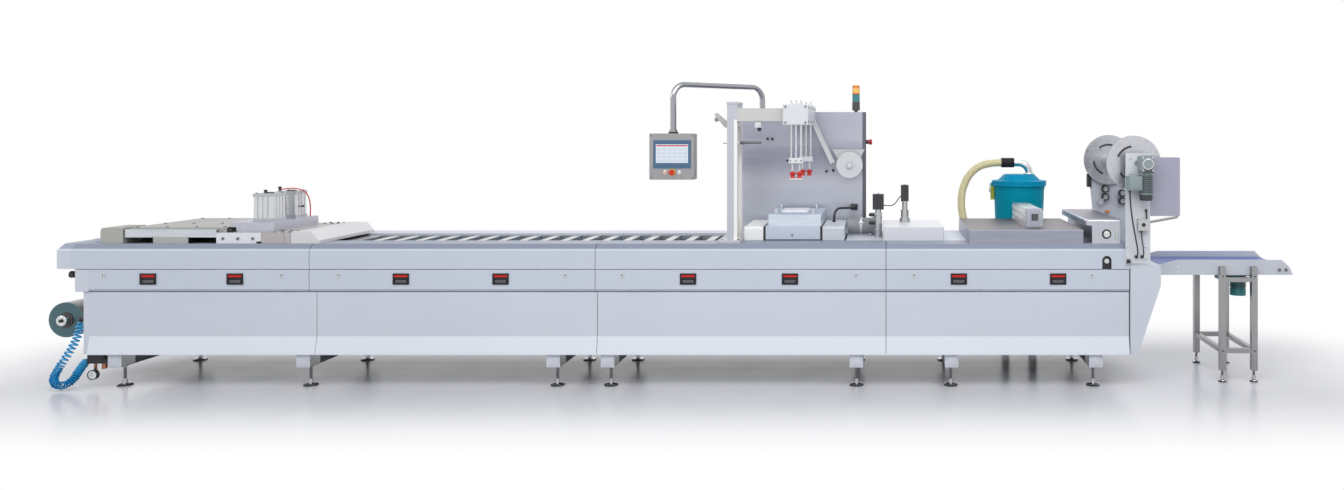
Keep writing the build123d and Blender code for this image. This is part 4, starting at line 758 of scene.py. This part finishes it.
knob("gauge_ring", (238, -439, 84), front, 33, 4, 40, 4, -3.4, gauge_face, "black_plastic", 0.7)
knob("air_unit_knob", (309, -430.2, 196), front, 16, 8, 12, 4, 3, black_plastic, "black_plastic", 1.5)

# Forming station: a greenish cast side block, the heating frame with two openings painted black as
# shade, and the machined clamp plates behind it, whose bolt heads show in rows on top.


def grid(along, across, heights):
    """Every place that a row of distances along, across and above the floor gives."""
    return [(x, y, z) for x in along for y in across for z in heights]


def bolts(name, facing, radius, places, material, body="machine"):
    """Socket-head bolts: one is turned and hollowed, and the others are copies of it."""
    first = bar(name, places[0], facing, radius, radius * 0.7, 16)
    moves = [[b - a for a, b in zip(places[0], place)] for place in places[1:]]
    made(first, facing, radius * 0.5, -radius * 0.4, material, radius * 0.08, moves, body)


block_paint = paint("forming_blocks", (0.4, 0.405, 0.37), 0.55)
zone(block_paint, (1055, -500, 960), (1600, 400, 1100), (0.44, 0.41, 0.4), 0.42, 0.35)
zone(block_paint, (1055, -430, 960), (1362.5, -424.5, 1040), (0.72, 0.73, 0.75), 0.4, 0.0)
dress("forming_blocks", block_paint)
frame_metal = brushed("forming_frame", (0.6, 0.63, 0.68), 0.42, (0.1, 1, 1), 60)
zone(frame_metal, (630, -430, 960), (878, -400, 1010), (0.4, 0.42, 0.4), 0.6, 0.2)
# Painted shade: the walls of the frame's two openings are coloured near black.
for low, high in ((446, 638), (870, 1062)):
    zone(frame_metal, (low, -424.4, 960), (high, -270, 1006.4), (0.012, 0.012, 0.014), 0.6, 0)
dress("forming_frame", frame_metal)
heater = brushed("heating_plate", (0.4, 0.4, 0.39), 0.42, (1, 1, 1), 18)
zone(heater, (400, -500, 1020), (449, 400, 1080), (0.16, 0.05, 0.035), 0.4, 0.2)
dress("preheat_plate", heater)
dark_steel = brushed("dark_steel", (0.2, 0.2, 0.21), 0.32)
bolts("heater_bolts", up, 9, grid((500, 700, 900, 1090), (-380, -120, 260), (1070,)), dark_steel)
bolts("clamp_bolts", up, 9, grid((1085, 1440, 1495, 1540), (-400, -300, 200, 280), (1038,)), dark_steel)
bolts("forming_front_bolts", front, 9, grid((1107, 1207, 1308), (-425,), (998,)), dark_steel)
knob("forming_knob", (1143, -400, 1038), up, 14, 16, 16, 4, 6, black_plastic, "black_plastic", 1.5)
spacer = block("heating_plate_rest", (1062, -404, 1038.3), (1119, 299, 1058.7))
made(spacer, front, 3, -1, heater, 1)
dress("forming_end_cover", paint("forming_end_cover", (0.66, 0.65, 0.66), 0.4))

# The two air cylinders: drawn aluminium barrels with flutes, between darker caps that four screws
# hold, on the beam that spreads their force. Push-in fittings stand on the caps.
dress("forming_beam", brushed("forming_beam", (0.52, 0.53, 0.6), 0.4, (1, 0.1, 1), 60))
barrel_metal = brushed("cylinder_barrel", (0.68, 0.69, 0.71), 0.34, (1, 1, 0.08), 90)
for low, high in ((1103, 1126), (1272, 1294.2)):
    zone(barrel_metal, (1240, -340, low), (1395, 80, high), (0.46, 0.48, 0.52), 0.42)
zone(barrel_metal, (1240, -340, 1294.4), (1395, 80, 1330), black, 0.4, 0)
zone(barrel_metal, (1388.4, -60, 1170), (1430, 60, 1200), black, 0.4, 0)
dress("air_cylinders", barrel_metal)
screws = [(1317 + dx, y + dy, 1294) for y in (-259, -2) for dx in (-54, 54) for dy in (-54, 54)]
bolts("cylinder_screws", up, 8, screws, dark_steel)
boss = ("cylinder_bosses", (1317, -259, 1294), up, 34, 4, 40)
knob(*boss, 8, 3, barrel_metal, "aluminium", 1, [(0, 257, 0)])
collar = ("air_fitting_collars", (1262, -50, 1316), up, 12, 8, 20)
knob(*collar, 3, 3, black_plastic, "black_plastic", 1, [(28, -209, -10)])

# The bed: chain guides of drawn aluminium, and the clear film with its formed pockets, which looks
# dark where the die bed shows through it.
dress("chain_guides", brushed("chain_guides", (0.56, 0.55, 0.56), 0.38, (0.05, 1, 1), 90))
web_film = plastic("formed_web", (0.16, 0.185, 0.22), 0.16, 0.00008)
tune(web_film, "Coat Weight", 0.7)
zone(web_film, (1700, -230, 900), (4600, 230, 920.5), (0.05, 0.06, 0.075), 0.3)
dress("formed_web", web_film)

# Gantry: a folded light-grey post whose right side is painted paler as light, a grey lever and a guide
# rod through it, and a painted arm that carries the white block with the gripper rods.
post_paint = paint("gantry_post", (0.5, 0.52, 0.56), 0.42)
# Painted light: the post's right side is coloured much paler than the rest of it.
zone(post_paint, (4528, -420, 975), (4560, 60, 1800), (0.86, 0.85, 0.82))
zone(post_paint, (4370, -216, 1730), (4480.8, -198, 1860), (0.5, 0.5, 0.48), 0.4)
zone(post_paint, (4430, -215, 1620), (4480.8, -185, 1650), (0.6, 0.61, 0.62), 0.25, 1.0)
zone(post_paint, (4550.3, -215, 1620), (4720, -185, 1650), (0.16, 0.16, 0.17), 0.3, 0.6)
dress("gantry_post", post_paint)
beam_paint = paint("gantry_beam", (0.56, 0.56, 0.535), 0.4)
zone(beam_paint, (4865.8, -400, 1700), (5060, 400, 1920), (0.66, 0.68, 0.71), 0.36)
dress("gantry_beam", beam_paint)
bolts("gantry_block_bolts", front, 7, grid((4884, 5020), (-380,), (1780, 1886)), dark_steel)
bolts("gantry_end_bolts", right, 7, grid((5038,), (-340, -120, 120, 340), (1785, 1880)), dark_steel)
bolts("gantry_foot_bolts", up, 8, grid((4456, 4566), (-390, -60), (985,)), dark_steel)
knob("lever_grip", (4386, -199.8, 1800), rear, 14, 26, 20, 4, 4, grey_plastic, "grey_plastic", 2)
white_plastic = plastic("white_plastic", (0.68, 0.69, 0.7), 0.42)
regulator = block("beam_regulator", (4668, -318, 1744), (4712, -272, 1788.7))
made(regulator, front, 6, 3, white_plastic, 2.5)
knob("beam_regulator_tip", (4698, -295, 1744), down, 14, 18, 16, 4, 6, black_plastic, "black_plastic", 1.5)

# Label grippers: white heads on clear plastic rods that slide through bushes on the block, with red
# bellows cups under them that pick each label off the band.
gripper_metal = brushed("gripper_rods", (0.7, 0.72, 0.74), 0.2)
zone(gripper_metal, (4850, -400, 1502), (5100, 100, 1537.5), (0.72, 0.73, 0.74), 0.4, 0.0)
zone(gripper_metal, (4850, -400, 1380), (5100, 100, 1447), (0.6, 0.03, 0.02), 0.35, 0.0)
zone(gripper_metal, (4850, -400, 1447), (5100, 100, 1502), (0.6, 0.62, 0.64), 0.3, 0.3)
dress("label_gripper", gripper_metal)
head_bolts = grid((4916, 4952, 4988), (-356,), (1520,))
bolts("gripper_head_bolts", front, 5, head_bolts, dark_steel, body="gripper")
fitting = ("gripper_fittings", (4904, -330, 1520), left, 8, 14, 12)
knob(*fitting, 2, 5, black_plastic, "black_plastic", 1, [(40, 375, 0)], "gripper")
rod_bush = bar("gripper_rod_bushes", (4919, -330, 1904.2), up, 13, 8, 24)
bpy.ops.object.mode_set(mode="EDIT")
bpy.ops.mesh.select_mode(type="FACE")
pick(rod_bush, lambda normal, middle: abs(normal.z) > 0.95)
bpy.ops.mesh.inset(thickness=0.0052)
bpy.ops.mesh.bridge_edge_loops()
bpy.ops.object.mode_set(mode="OBJECT")
rods = [(x, y) for middle, y in ((4952, -330), (4992, 45)) for x in (middle - 33, middle, middle + 33)]
repeated(rod_bush, [(x - 4919, y + 330, 0) for x, y in rods[1:]])
complete(rod_bush, bright_steel, edge=0.8)
cup = bar("gripper_cups", (4928, -330, 1440), down, 21, 16, 28)
press(cup, down, 6, 2)
cup_red = plastic("gripper_cups", (0.55, 0.012, 0.01), 0.35)
cup_moves = [(48, 0, 0), (40, 375, 0), (88, 375, 0)]
made(cup, down, -6, 6, cup_red, 1.2, cup_moves, "gripper")
label = block("gripper_label", (4908, -352, 1391), (4996, -308, 1400.6))
made(label, down, 5, 1, white_plastic, 1, body="gripper")

# Cabinet behind the sealing station: brushed sheet with painted light that gives it a cooler, lighter
# tone low down, with fittings on its face, a stop button on its end and a signal tower on top.
cabinet_sheet = brushed("cabinet_sheet", (0.35, 0.36, 0.44), 0.42, (0.04, 1, 1), 60)
tree = cabinet_sheet.node_tree
# Painted light: the sheet turns cooler and lighter from 1.45 m down, and fully so below 1.0 m.
painted_light_low_down = spread(tree, axes(tree)[2], 1, 0, 1.0, 1.45)
over(cabinet_sheet, painted_light_low_down, (0.57, 0.6, 0.67))
bands = spread(tree, noise(tree, 2.6, 2, (0.06, 0.06, 1)), 0, 0.5, 0.45, 0.6)
over(cabinet_sheet, bands, (0.56, 0.58, 0.64))
zone(cabinet_sheet, (5392, 0, 965), (5430, 600, 1864), (0.13, 0.14, 0.16))
zone(cabinet_sheet, (5310, 340, 1130), (5350, 379, 1170), black, 0.4, 0)
dress("back_cabinet", cabinet_sheet)
stop_paint = plastic("stop_button", (0.4, 0.012, 0.018), 0.3)
zone(stop_paint, (5418, 380, 1600), (5436, 480, 1680), (0.1, 0.01, 0.012), 0.4)
dress("cabinet_stop", stop_paint)
fitting = ("cabinet_fittings", (4679, 379, 1661), front, 10, 16, 12)
fitting_moves = [(34, 0, 0), (443, 0, -244), (493, 0, -238)]
knob(*fitting, 3, 10, black_plastic, "black_plastic", 1.5, fitting_moves)
hinge = ("cabinet_hinges", (4476, 434, 1100), up, 8, 70, 16)
knob(*hinge, 2, 5, bright_steel, "stainless", 1, [(0, 0, 640)])
plug_box = block("cabinet_plug", (5304, 344, 1128), (5356, 378.6, 1172))
made(plug_box, front, 8, 5, black_plastic, 3)
door_handle = block("cabinet_handle", (5300, 465.5, 1390), (5330, 469.8, 1510))
made(door_handle, rear, 6, 0, bright_steel, 1.2)
tower_paint = plastic("signal_tower", (0.75, 0.24, 0.02), 0.2)
for low, high, colour, roughness in (
    (1860, 1939.5, (0.03, 0.03, 0.033), 0.45),
    (1939.5, 1993, (0.02, 0.2, 0.22), 0.15),
    (1993, 1998, (0.05, 0.05, 0.055), 0.4),
    (2008, 2046, (0.95, 0.5, 0.12), 0.15),
):
    zone(tower_paint, (5300, 380, low), (5400, 480, high), colour, roughness)
tune(tower_paint, "Coat Weight", 0.6)
dress("signal_tower", tower_paint)

# Label reel: a paper roll between two pale discs on a steel pin, with the band of labels and its
# white guide that run down beside it from the grippers' block.
hub = (5297, 0, 1468)
reel_paint = plastic("label_reel", (0.72, 0.73, 0.74), 0.4)
for near, far in ((280, 289.4), (340.5, 350)):
    side_disc = inside(reel_paint, (5180, near, 1350), (5420, far, 1580))
    over(reel_paint, side_disc, (0.66, 0.68, 0.71), 0.2)
    over(reel_paint, meet(reel_paint, side_disc, beyond(reel_paint, hub, 92)), (0.42, 0.44, 0.47), 0.25)
print_ring = meet(
    reel_paint,
    inside(reel_paint, (5180, 270, 1350), (5420, 289.4, 1580)),
    circled(reel_paint, hub, 50),
    beyond(reel_paint, hub, 31),
)
over(reel_paint, print_ring, (0.36, 0.38, 0.43), 0.3)
dress("label_reel", reel_paint)
bracket_paint = brushed("label_bracket", (0.56, 0.58, 0.61), 0.34)
hub_face = inside(bracket_paint, (5260, 270, 1430), (5340, 290, 1510))
over(bracket_paint, hub_face, (0.5, 0.52, 0.56), 0.4)
hub_pin = meet(bracket_paint, hub_face, circled(bracket_paint, hub, 12))
over(bracket_paint, hub_pin, (0.7, 0.71, 0.72), 0.25, 1)
dress("label_bracket", bracket_paint)
dress("label_band", plastic("label_paper", (0.76, 0.76, 0.75), 0.55))
guide = block("label_guide", (5000, 288.5, 1645), (5036, 292.4, 1988))
press(guide, front, 5, -0.8)
slope = math.atan2(162, 350)
middle = spot(5018, 290, 1790)
turn = Matrix.Rotation(slope, 4, "Y").inverted()
guide.data.transform(Matrix.Translation(middle) @ turn @ Matrix.Translation(-middle))
guide.data.transform(Matrix.Translation(Vector((0.092, 0, -0.176))))
complete(guide, white_plastic, edge=0.6)

# Operator's arm and panel: a polished tube that swings over the line, and a brushed box with a steel
# blue touch screen frame, a stop button on its yellow ring and two push buttons.
dress("swing_arm", brushed("arm_tube", (0.4, 0.405, 0.43), 0.17, (1, 1, 1), 40))
panel_metal = brushed("operator_panel", (0.36, 0.36, 0.37), 0.4, (1, 1, 0.06), 90)
mid = 4078
zone(panel_metal, (mid - 132, -201, 1459), (mid + 132, -195.3, 1659), (0.06, 0.13, 0.23), 0.35, 0)
zone(panel_metal, (4030, -200, 1704.4), (4130, -100, 1716), black, 0.4, 0)
zone(panel_metal, (mid - 112, -201, 1499), (mid + 112, -199.4, 1628), (0.74, 0.78, 0.82), 0.12, 0)
zone(panel_metal, (mid - 108, -201, 1614), (mid + 108, -199.4, 1623), (0.6, 0.08, 0.09), 0.12)
for z in (1582, 1556, 1530, 1504):
    for x in range(mid - 105, mid + 76, 36):
        zone(panel_metal, (x, -201, z), (x + 31, -199.4, z + 20), (0.62, 0.68, 0.76), 0.12)
zone(panel_metal, (mid - 30, -225, 1405), (mid + 30, -195.3, 1460), (0.78, 0.42, 0.02), 0.4, 0)
zone(panel_metal, (mid - 22, -225, 1410), (mid + 22, -198.4, 1456), (0.6, 0.02, 0.015), 0.3)
zone(panel_metal, (mid - 64, -210, 1420), (mid - 36, -195.3, 1446), (0.75, 0.4, 0.25), 0.3, 0)
zone(panel_metal, (mid + 36, -210, 1420), (mid + 64, -195.3, 1446), (0.66, 0.66, 0.66), 0.3, 0)
dress("operator_panel", panel_metal)
ring = ("button_rings", (mid - 50, -195, 1433), front, 14.5, 3, 28)
knob(*ring, 3, 1, bright_steel, "stainless", 0.6, [(100, 0, 0)], "panel")
panel_screws = grid((mid - 146, mid + 146), (-195,), (1398, 1690))
bolts("panel_screws", front, 4.5, panel_screws, dark_steel, body="panel")

# Sealing station: white covers either side of a cool-grey chamber on black runners, under a milled
# head with a white plate and four bright knobs.
cover_paint = paint("sealing_covers", (0.94, 0.94, 0.92), 0.36)
zone(cover_paint, (5126, -300, 960), (5290, 300, 1080), (0.6, 0.63, 0.67))
zone(cover_paint, (5170, 120, 1058.4), (5210, 170, 1080), black, 0.4)
dress("sealing_covers", cover_paint)
chamber_metal = plastic("sealing_chamber", black, 0.45)
zone(chamber_metal, (4733, -300, 972), (5111, 300, 1070), (0.56, 0.61, 0.7), 0.38, 0.3)
dress("sealing_chamber", chamber_metal)
head_metal = brushed("sealing_head", (0.66, 0.72, 0.82), 0.36, (0.1, 1, 1), 70)
zone(head_metal, (4829, -61, 1147.4), (5011, 201, 1160), (0.9, 0.91, 0.94), 0.4, 0)
for x, y, z in grid((4800, 5060), (-180, 200), (1168.6,)):
    zone(head_metal, (x - 15, y - 15, z), (x + 15, y + 15, 1190), (0.7, 0.71, 0.72), 0.22)
dress("sealing_head", head_metal)
bolts("chamber_bolts", front, 7, [(4917, -238, 1002)], dark_steel)

# Vacuum line: a dark pipe with its clamp band, and two valves whose square black coils stand on
# nickel-plated bodies, one of them on the white cover.
dress("vacuum_pipe", paint("vacuum_pipe", (0.28, 0.285, 0.31), 0.5))
knob("pipe_clamp", (5376, 150, 1030), right, 62, 20, 48, 3.4, -1, bright_steel, "stainless", 1)
clamp_screw = bar("pipe_clamp_screw", (5386, 76, 1052), rear, 8, 20, 12)
made(clamp_screw, front, 2, 4, dark_steel, 1)
coil_black = (0.025, 0.026, 0.03)
valve_metal = brushed("valve_bodies", (0.55, 0.56, 0.57), 0.28)
zone(valve_metal, (5470, -40, 1161.2), (5556, 40, 1275), coil_black, 0.42, 0)
zone(valve_metal, (5670, 68, 1213.2), (5740, 132, 1335), coil_black, 0.42, 0)
dress("vacuum_valves", valve_metal)
collar = ("valve_collars", (5512, 0, 1006), up, 33, 14, 6)
knob(*collar, 4, 3, valve_metal, "stainless", 1.2, [(0, 0, 112)])
elbow = ("valve_fittings", (5485, 0, 1064), left, 13, 34, 16)
knob(*elbow, 3, 6, black_plastic, "black_plastic", 1.5, [(0, 0, 58)])
coil_nut = ("valve_nuts", (5512, 0, 1270), up, 11, 7, 6)
knob(*coil_nut, 3, 4, bright_steel, "stainless", 0.8, [(192, 100, 59)])
dress("valve_cover", paint("valve_cover", (0.72, 0.73, 0.76), 0.36))

# Trim vacuum: a teal drum and lid behind the cutter, held by over-centre clips, with a chrome elbow
# and the black coupler that the hose screws into.
teal = paint("teal_drum", (0.0, 0.27, 0.38), 0.5)
tune(teal, "Specular IOR Level", 0.08)
dress("vacuum_drum", teal)
lid_paint = paint("teal_lid", (0.0, 0.27, 0.46), 0.46)
tune(lid_paint, "Specular IOR Level", 0.1)
zone(lid_paint, (6400, 400, 1378.6), (6900, 1000, 1560), (0.7, 0.71, 0.72), 0.15, 1.0)
zone(lid_paint, (6470, 600, 1425), (6580.6, 800, 1515), black, 0.4, 0.0)
zone(lid_paint, (6390, 690, 1170), (6422.9, 750, 1289.5), (0.36, 0.42, 0.06), 0.4)
dress("vacuum_lid", lid_paint)
dress("vacuum_stand", paint("vacuum_stand", (0.05, 0.055, 0.06), 0.45))
knob("drum_band", (6620, 720, 1268), up, 200, 16, 64, 2, 0, teal, "teal_paint", 1.5)
latch = block("lid_latch", (6388, 704, 1236), (6396.6, 736, 1312))
made(latch, left, 5, 4, bright_steel, 1.2)
knob("elbow_flange", (6700, 720, 1378.2), up, 46, 9, 40, 8, 3, bright_steel, "polished", 1.2)

# Cross cutter: a closed stainless housing whose top is painted darker and browner as shade, with an
# extruded aluminium drive across it that ends in a grey cap with a dark middle.
cutter_metal = brushed("cross_cutter", (0.34, 0.355, 0.43), 0.42, (0.06, 1, 1), 70)
# Painted shade: the housing's top face is coloured dark brownish grey.
zone(cutter_metal, (6100, -500, 1056.2), (6900, 500, 1060), (0.17, 0.155, 0.17), 0.46)
dress("cross_cutter", cutter_metal)
drive_metal = brushed("cutter_drive", (0.68, 0.68, 0.68), 0.34, (1, 0.06, 1), 90)
zone(drive_metal, (6530, -260, 1056), (6660, -200.4, 1190), (0.44, 0.47, 0.54), 0.42, 0.5)
zone(drive_metal, (6572, -260, 1100), (6620, -233.8, 1148), (0.12, 0.12, 0.13), 0.3, 1.0)
dress("cutter_drive", drive_metal)
bolts("drive_end_bolts", front, 6, grid((6552, 6636), (-234,), (1070, 1170)), bright_steel)

# Slitter housing: folded stainless sheet with a rounded top plate whose top is painted darker as shade,
# and a knob that sets the blades, in an opening painted black as shade.
knob_middle = (7047, 0, 1029)
slitter_metal = brushed("slitter", (0.54, 0.55, 0.62), 0.36, (1, 1, 0.06), 80)
# Painted shade: the top plate's top face is coloured darker than the sheet.
zone(slitter_metal, (6890, -500, 1126.2), (7150, 500, 1130), (0.25, 0.247, 0.28), 0.46)
# Painted shade: the opening round the knob is coloured near black.
painted_shade_opening = circled(slitter_metal, knob_middle, 32.4)
painted_shade_opening = meet(slitter_metal, painted_shade_opening, inside(slitter_metal, (7000, -429.6, 980), (7090, -390, 1070)))
over(slitter_metal, painted_shade_opening, (0.012, 0.012, 0.014), 0.6, 0.0)
over(slitter_metal, circled(slitter_metal, knob_middle, 22.6), (0.66, 0.67, 0.68), 0.24, 1.0)
dress("slitter", slitter_metal)
knob("slitter_knob", (7047, -438, 1029), front, 20, 4, 12, 6, 3, bright_steel, "stainless", 1.2)
guard_strip = block("slitter_strip", (7106, -436, 990), (7126, -430.3, 1080))
made(guard_strip, front, 4, 2, plastic("slitter_strip", (0.55, 0.62, 0.58), 0.4), 1)

# Scrap winder: two slotted steel discs, with painted shade on their rims and black discs behind their slots
# as shade, on a shaft between a light back plate with four black knobs and a white front plate that carries
# the bearing.
shaft = (7236, 0, 1505)
disc_metal = brushed("winder_discs", (0.58, 0.59, 0.63), 0.34)
# Painted shade: each disc is coloured dark beyond 184 mm from the shaft.
for near, far in ((-401, -391), (326, 336)):
    disc = inside(disc_metal, (7000, near, 1300), (7500, far, 1700))
    over(disc_metal, meet(disc_metal, disc, beyond(disc_metal, shaft, 184)), (0.12, 0.12, 0.13), 0.4)
dress("winder_reel", disc_metal)
# Painted shade: a black disc on the back of each slotted disc, which shows dark through its slots.
slot_shade_black = plastic("disc_backings", (0.05, 0.05, 0.055), 0.5)
slot_shade_disc = ("disc_backings", (7236, -391.8, 1505), rear, 132, 2.5, 64)
knob(*slot_shade_disc, 84, 0.5, slot_shade_black, "stainless", 0.4, [(0, 727.1, 0)], "scrap_reel")
frame_paint = paint("winder_frame", (0.5, 0.53, 0.58), 0.4)
zone(frame_paint, (7100, -500, 800), (7400, -450, 1620), (0.62, 0.64, 0.68), 0.4)
zone(frame_paint, (7075, 340, 1290), (7113, 400, 1410), black, 0.4)
knob_spots = ((7212, 1287), (7212, 1227), (7340, 1256), (7340, 1196))
for x, z in knob_spots:
    zone(frame_paint, (x - 30, 300, z - 30), (x + 30, 354.8, z + 30), (0.018, 0.018, 0.02), 0.4)
zone(frame_paint, (7150, 300, 1165), (7200, 354.8, 1215), (0.66, 0.67, 0.68), 0.24, 1.0)
zone(frame_paint, (7190, -474.8, 1460), (7280, -450, 1550), (0.5, 0.51, 0.52), 0.3, 1.0)
dress("winder_frame", frame_paint)
knob_face = ("winder_knob_faces", (7212, 315, 1287), front, 18, 4, 28)
face_moves = [(x - 7212, 0, z - 1287) for x, z in knob_spots[1:]]
knob(*knob_face, 5, -2, grey_plastic, "grey_plastic", 1, face_moves)
plate_bolts = grid((7177, 7297), (-487,), (879, 955)) + [(7190, -487, 1540), (7190, -487, 1440)]
bolts("winder_plate_bolts", front, 8, plate_bolts, bright_steel)
sensor = block("winder_sensor", (7166, -500, 842), (7192, -487.2, 866))
made(sensor, front, 4, 3, black_plastic, 1.5)
catch = block("winder_catch", (7217, 336, 1106), (7243, 354.6, 1126))
made(catch, front, 4, 3, plastic("orange_catch", (0.7, 0.24, 0.03), 0.4), 1)

# Winder's gear motor: a grey-green geared head with a steel cap, a finned motor that hangs under it
# and the terminal box whose cable runs down to the plate.
motor_paint = paint("gear_motor", (0.25, 0.31, 0.32), 0.42)
zone(motor_paint, (7235, -600, 1230), (7330, -480, 1302), (0.03, 0.035, 0.04), 0.45)
zone(motor_paint, (7158, -576, 1300), (7251, -504, 1430), (0.22, 0.3, 0.3), 0.42)
zone(motor_paint, (7160, -552, 1310), (7190, -528, 1330.2), black, 0.4)
dress("gear_motor", motor_paint)
fin_paint = paint("motor_fins", (0.06, 0.08, 0.085), 0.45)
fin = ("motor_fins", (7283, -540, 1316), up, 45.5, 4, 40)
knob(*fin, 3, 0.6, fin_paint, "blue_paint", 0.8, [(0, 0, i * 12) for i in range(1, 10)])
bolts("gear_head_bolts", front, 6, grid((7251, 7315), (-590,), (1463, 1547)), bright_steel)
knob("gear_cap", (7283, -590, 1505), front, 37, 6, 40, 3, 1, bright_steel, "stainless", 1)
box_lid = block("terminal_lid", (7166, -579, 1336), (7246, -575.2, 1422))
made(box_lid, front, 6, 1.5, motor_paint, 1)
rib = block("gear_head_ribs", (7247, -592.4, 1447), (7320, -589.6, 1452))
made(rib, front, 1.2, 1, black_plastic, 0.4, [(0, 0, 9), (0, 0, 18)])

# Limit switch: a die-cast box with a black lever on its side, and two glands low on the plate.
# Its round eye faces the operator.
switch_paint = brushed("limit_switch", (0.55, 0.56, 0.57), 0.36)
zone(switch_paint, (7285, -520, 1138.4), (7305, -480, 1205), black, 0.4, 0)
zone(switch_paint, (7200, -530, 860), (7300, -480, 910), black, 0.4, 0)
zone(switch_paint, (7250, -520, 1040), (7275, -495, 1061.6), black, 0.4, 0)
dress("limit_switch", switch_paint)
knob("switch_eye", (7272, -525, 1100), front, 13, 4, 28, 4, 2, black_plastic, "black_plastic", 0.8)
knob("switch_roller", (7289, -491, 1192), right, 9, 14, 24, 3, 2, black_plastic, "black_plastic", 0.8)

# Guard before the reel: a tall folded sheet with a slightly violet sheen, over a steel handrail.
# The rail leaves the winder's plate and turns up along the sheet's lower edge.
guard_metal = paint("winder_guard", (0.37, 0.37, 0.46), 0.36)
zone(guard_metal, (7280, -500, 1080), (7530, -440, 1153.8), (0.24, 0.24, 0.25), 0.25, 1.0)
dress("winder_guard", guard_metal)

# Outfeed conveyor: painted side plates, steel rollers, and a blue food-grade belt with a fine weave,
# on a brushed stand.
conveyor_paint = paint("conveyor_plates", (0.56, 0.59, 0.64), 0.4)
zone(conveyor_paint, (7390, -245.6, 700), (8400, 245.6, 790), (0.55, 0.56, 0.57), 0.3, 1.0)
dress("conveyor_frame", conveyor_paint)
belt = plastic("belt", (0.09, 0.14, 0.42), 0.42)
tree = belt.node_tree
weave = reckon(tree, "MULTIPLY", noise(tree, 700, 1, (1, 0.2, 1)), noise(tree, 700, 1, (0.2, 1, 1)))
relief(tree, tree.nodes["Principled BSDF"], weave, 0.0002, 0.4)
dress("conveyor_belt", belt)
for end, facing, side in (("front", front, -1), ("back", rear, 1)):
    side_bolts = grid((7577, 7771, 7985), (side * 258,), (780,))
    bolts("conveyor_bolts_" + end, facing, 8, side_bolts, bright_steel)
bearing = ("conveyor_bearings", (8321, -262, 764), front, 12, 3, 24)
knob(*bearing, 3, -1, dark_steel, "stainless", 0.6, [(-44, 0, 0)])
dress("conveyor_stand", brushed("conveyor_stand", (0.36, 0.36, 0.37), 0.34, (1, 1, 0.06), 90))
for end, facing, side in (("front", front, -1), ("back", rear, 1)):
    leg_bolts = grid((7877, 8094), (side * 298,), (213, 724))
    bolts("stand_bolts_" + end, facing, 7, leg_bolts, dark_steel)

# Conveyor's motor: a teal motor with dark cooling fins that hangs from its gear case.
# The case between the belt's strands is bare cast metal.
drive_paint = paint("conveyor_motor", (0.03, 0.21, 0.22), 0.38)
zone(drive_paint, (7380, -250, 725), (8400, 250, 760), (0.5, 0.51, 0.52), 0.36, 0.8)
dress("conveyor_motor", drive_paint)
fin = ("conveyor_motor_fins", (8030, -150, 632), up, 56, 4, 40)
knob(*fin, 3, 0.6, fin_paint, "teal_paint", 0.8, [(0, 0, i * 12) for i in range(1, 7)])
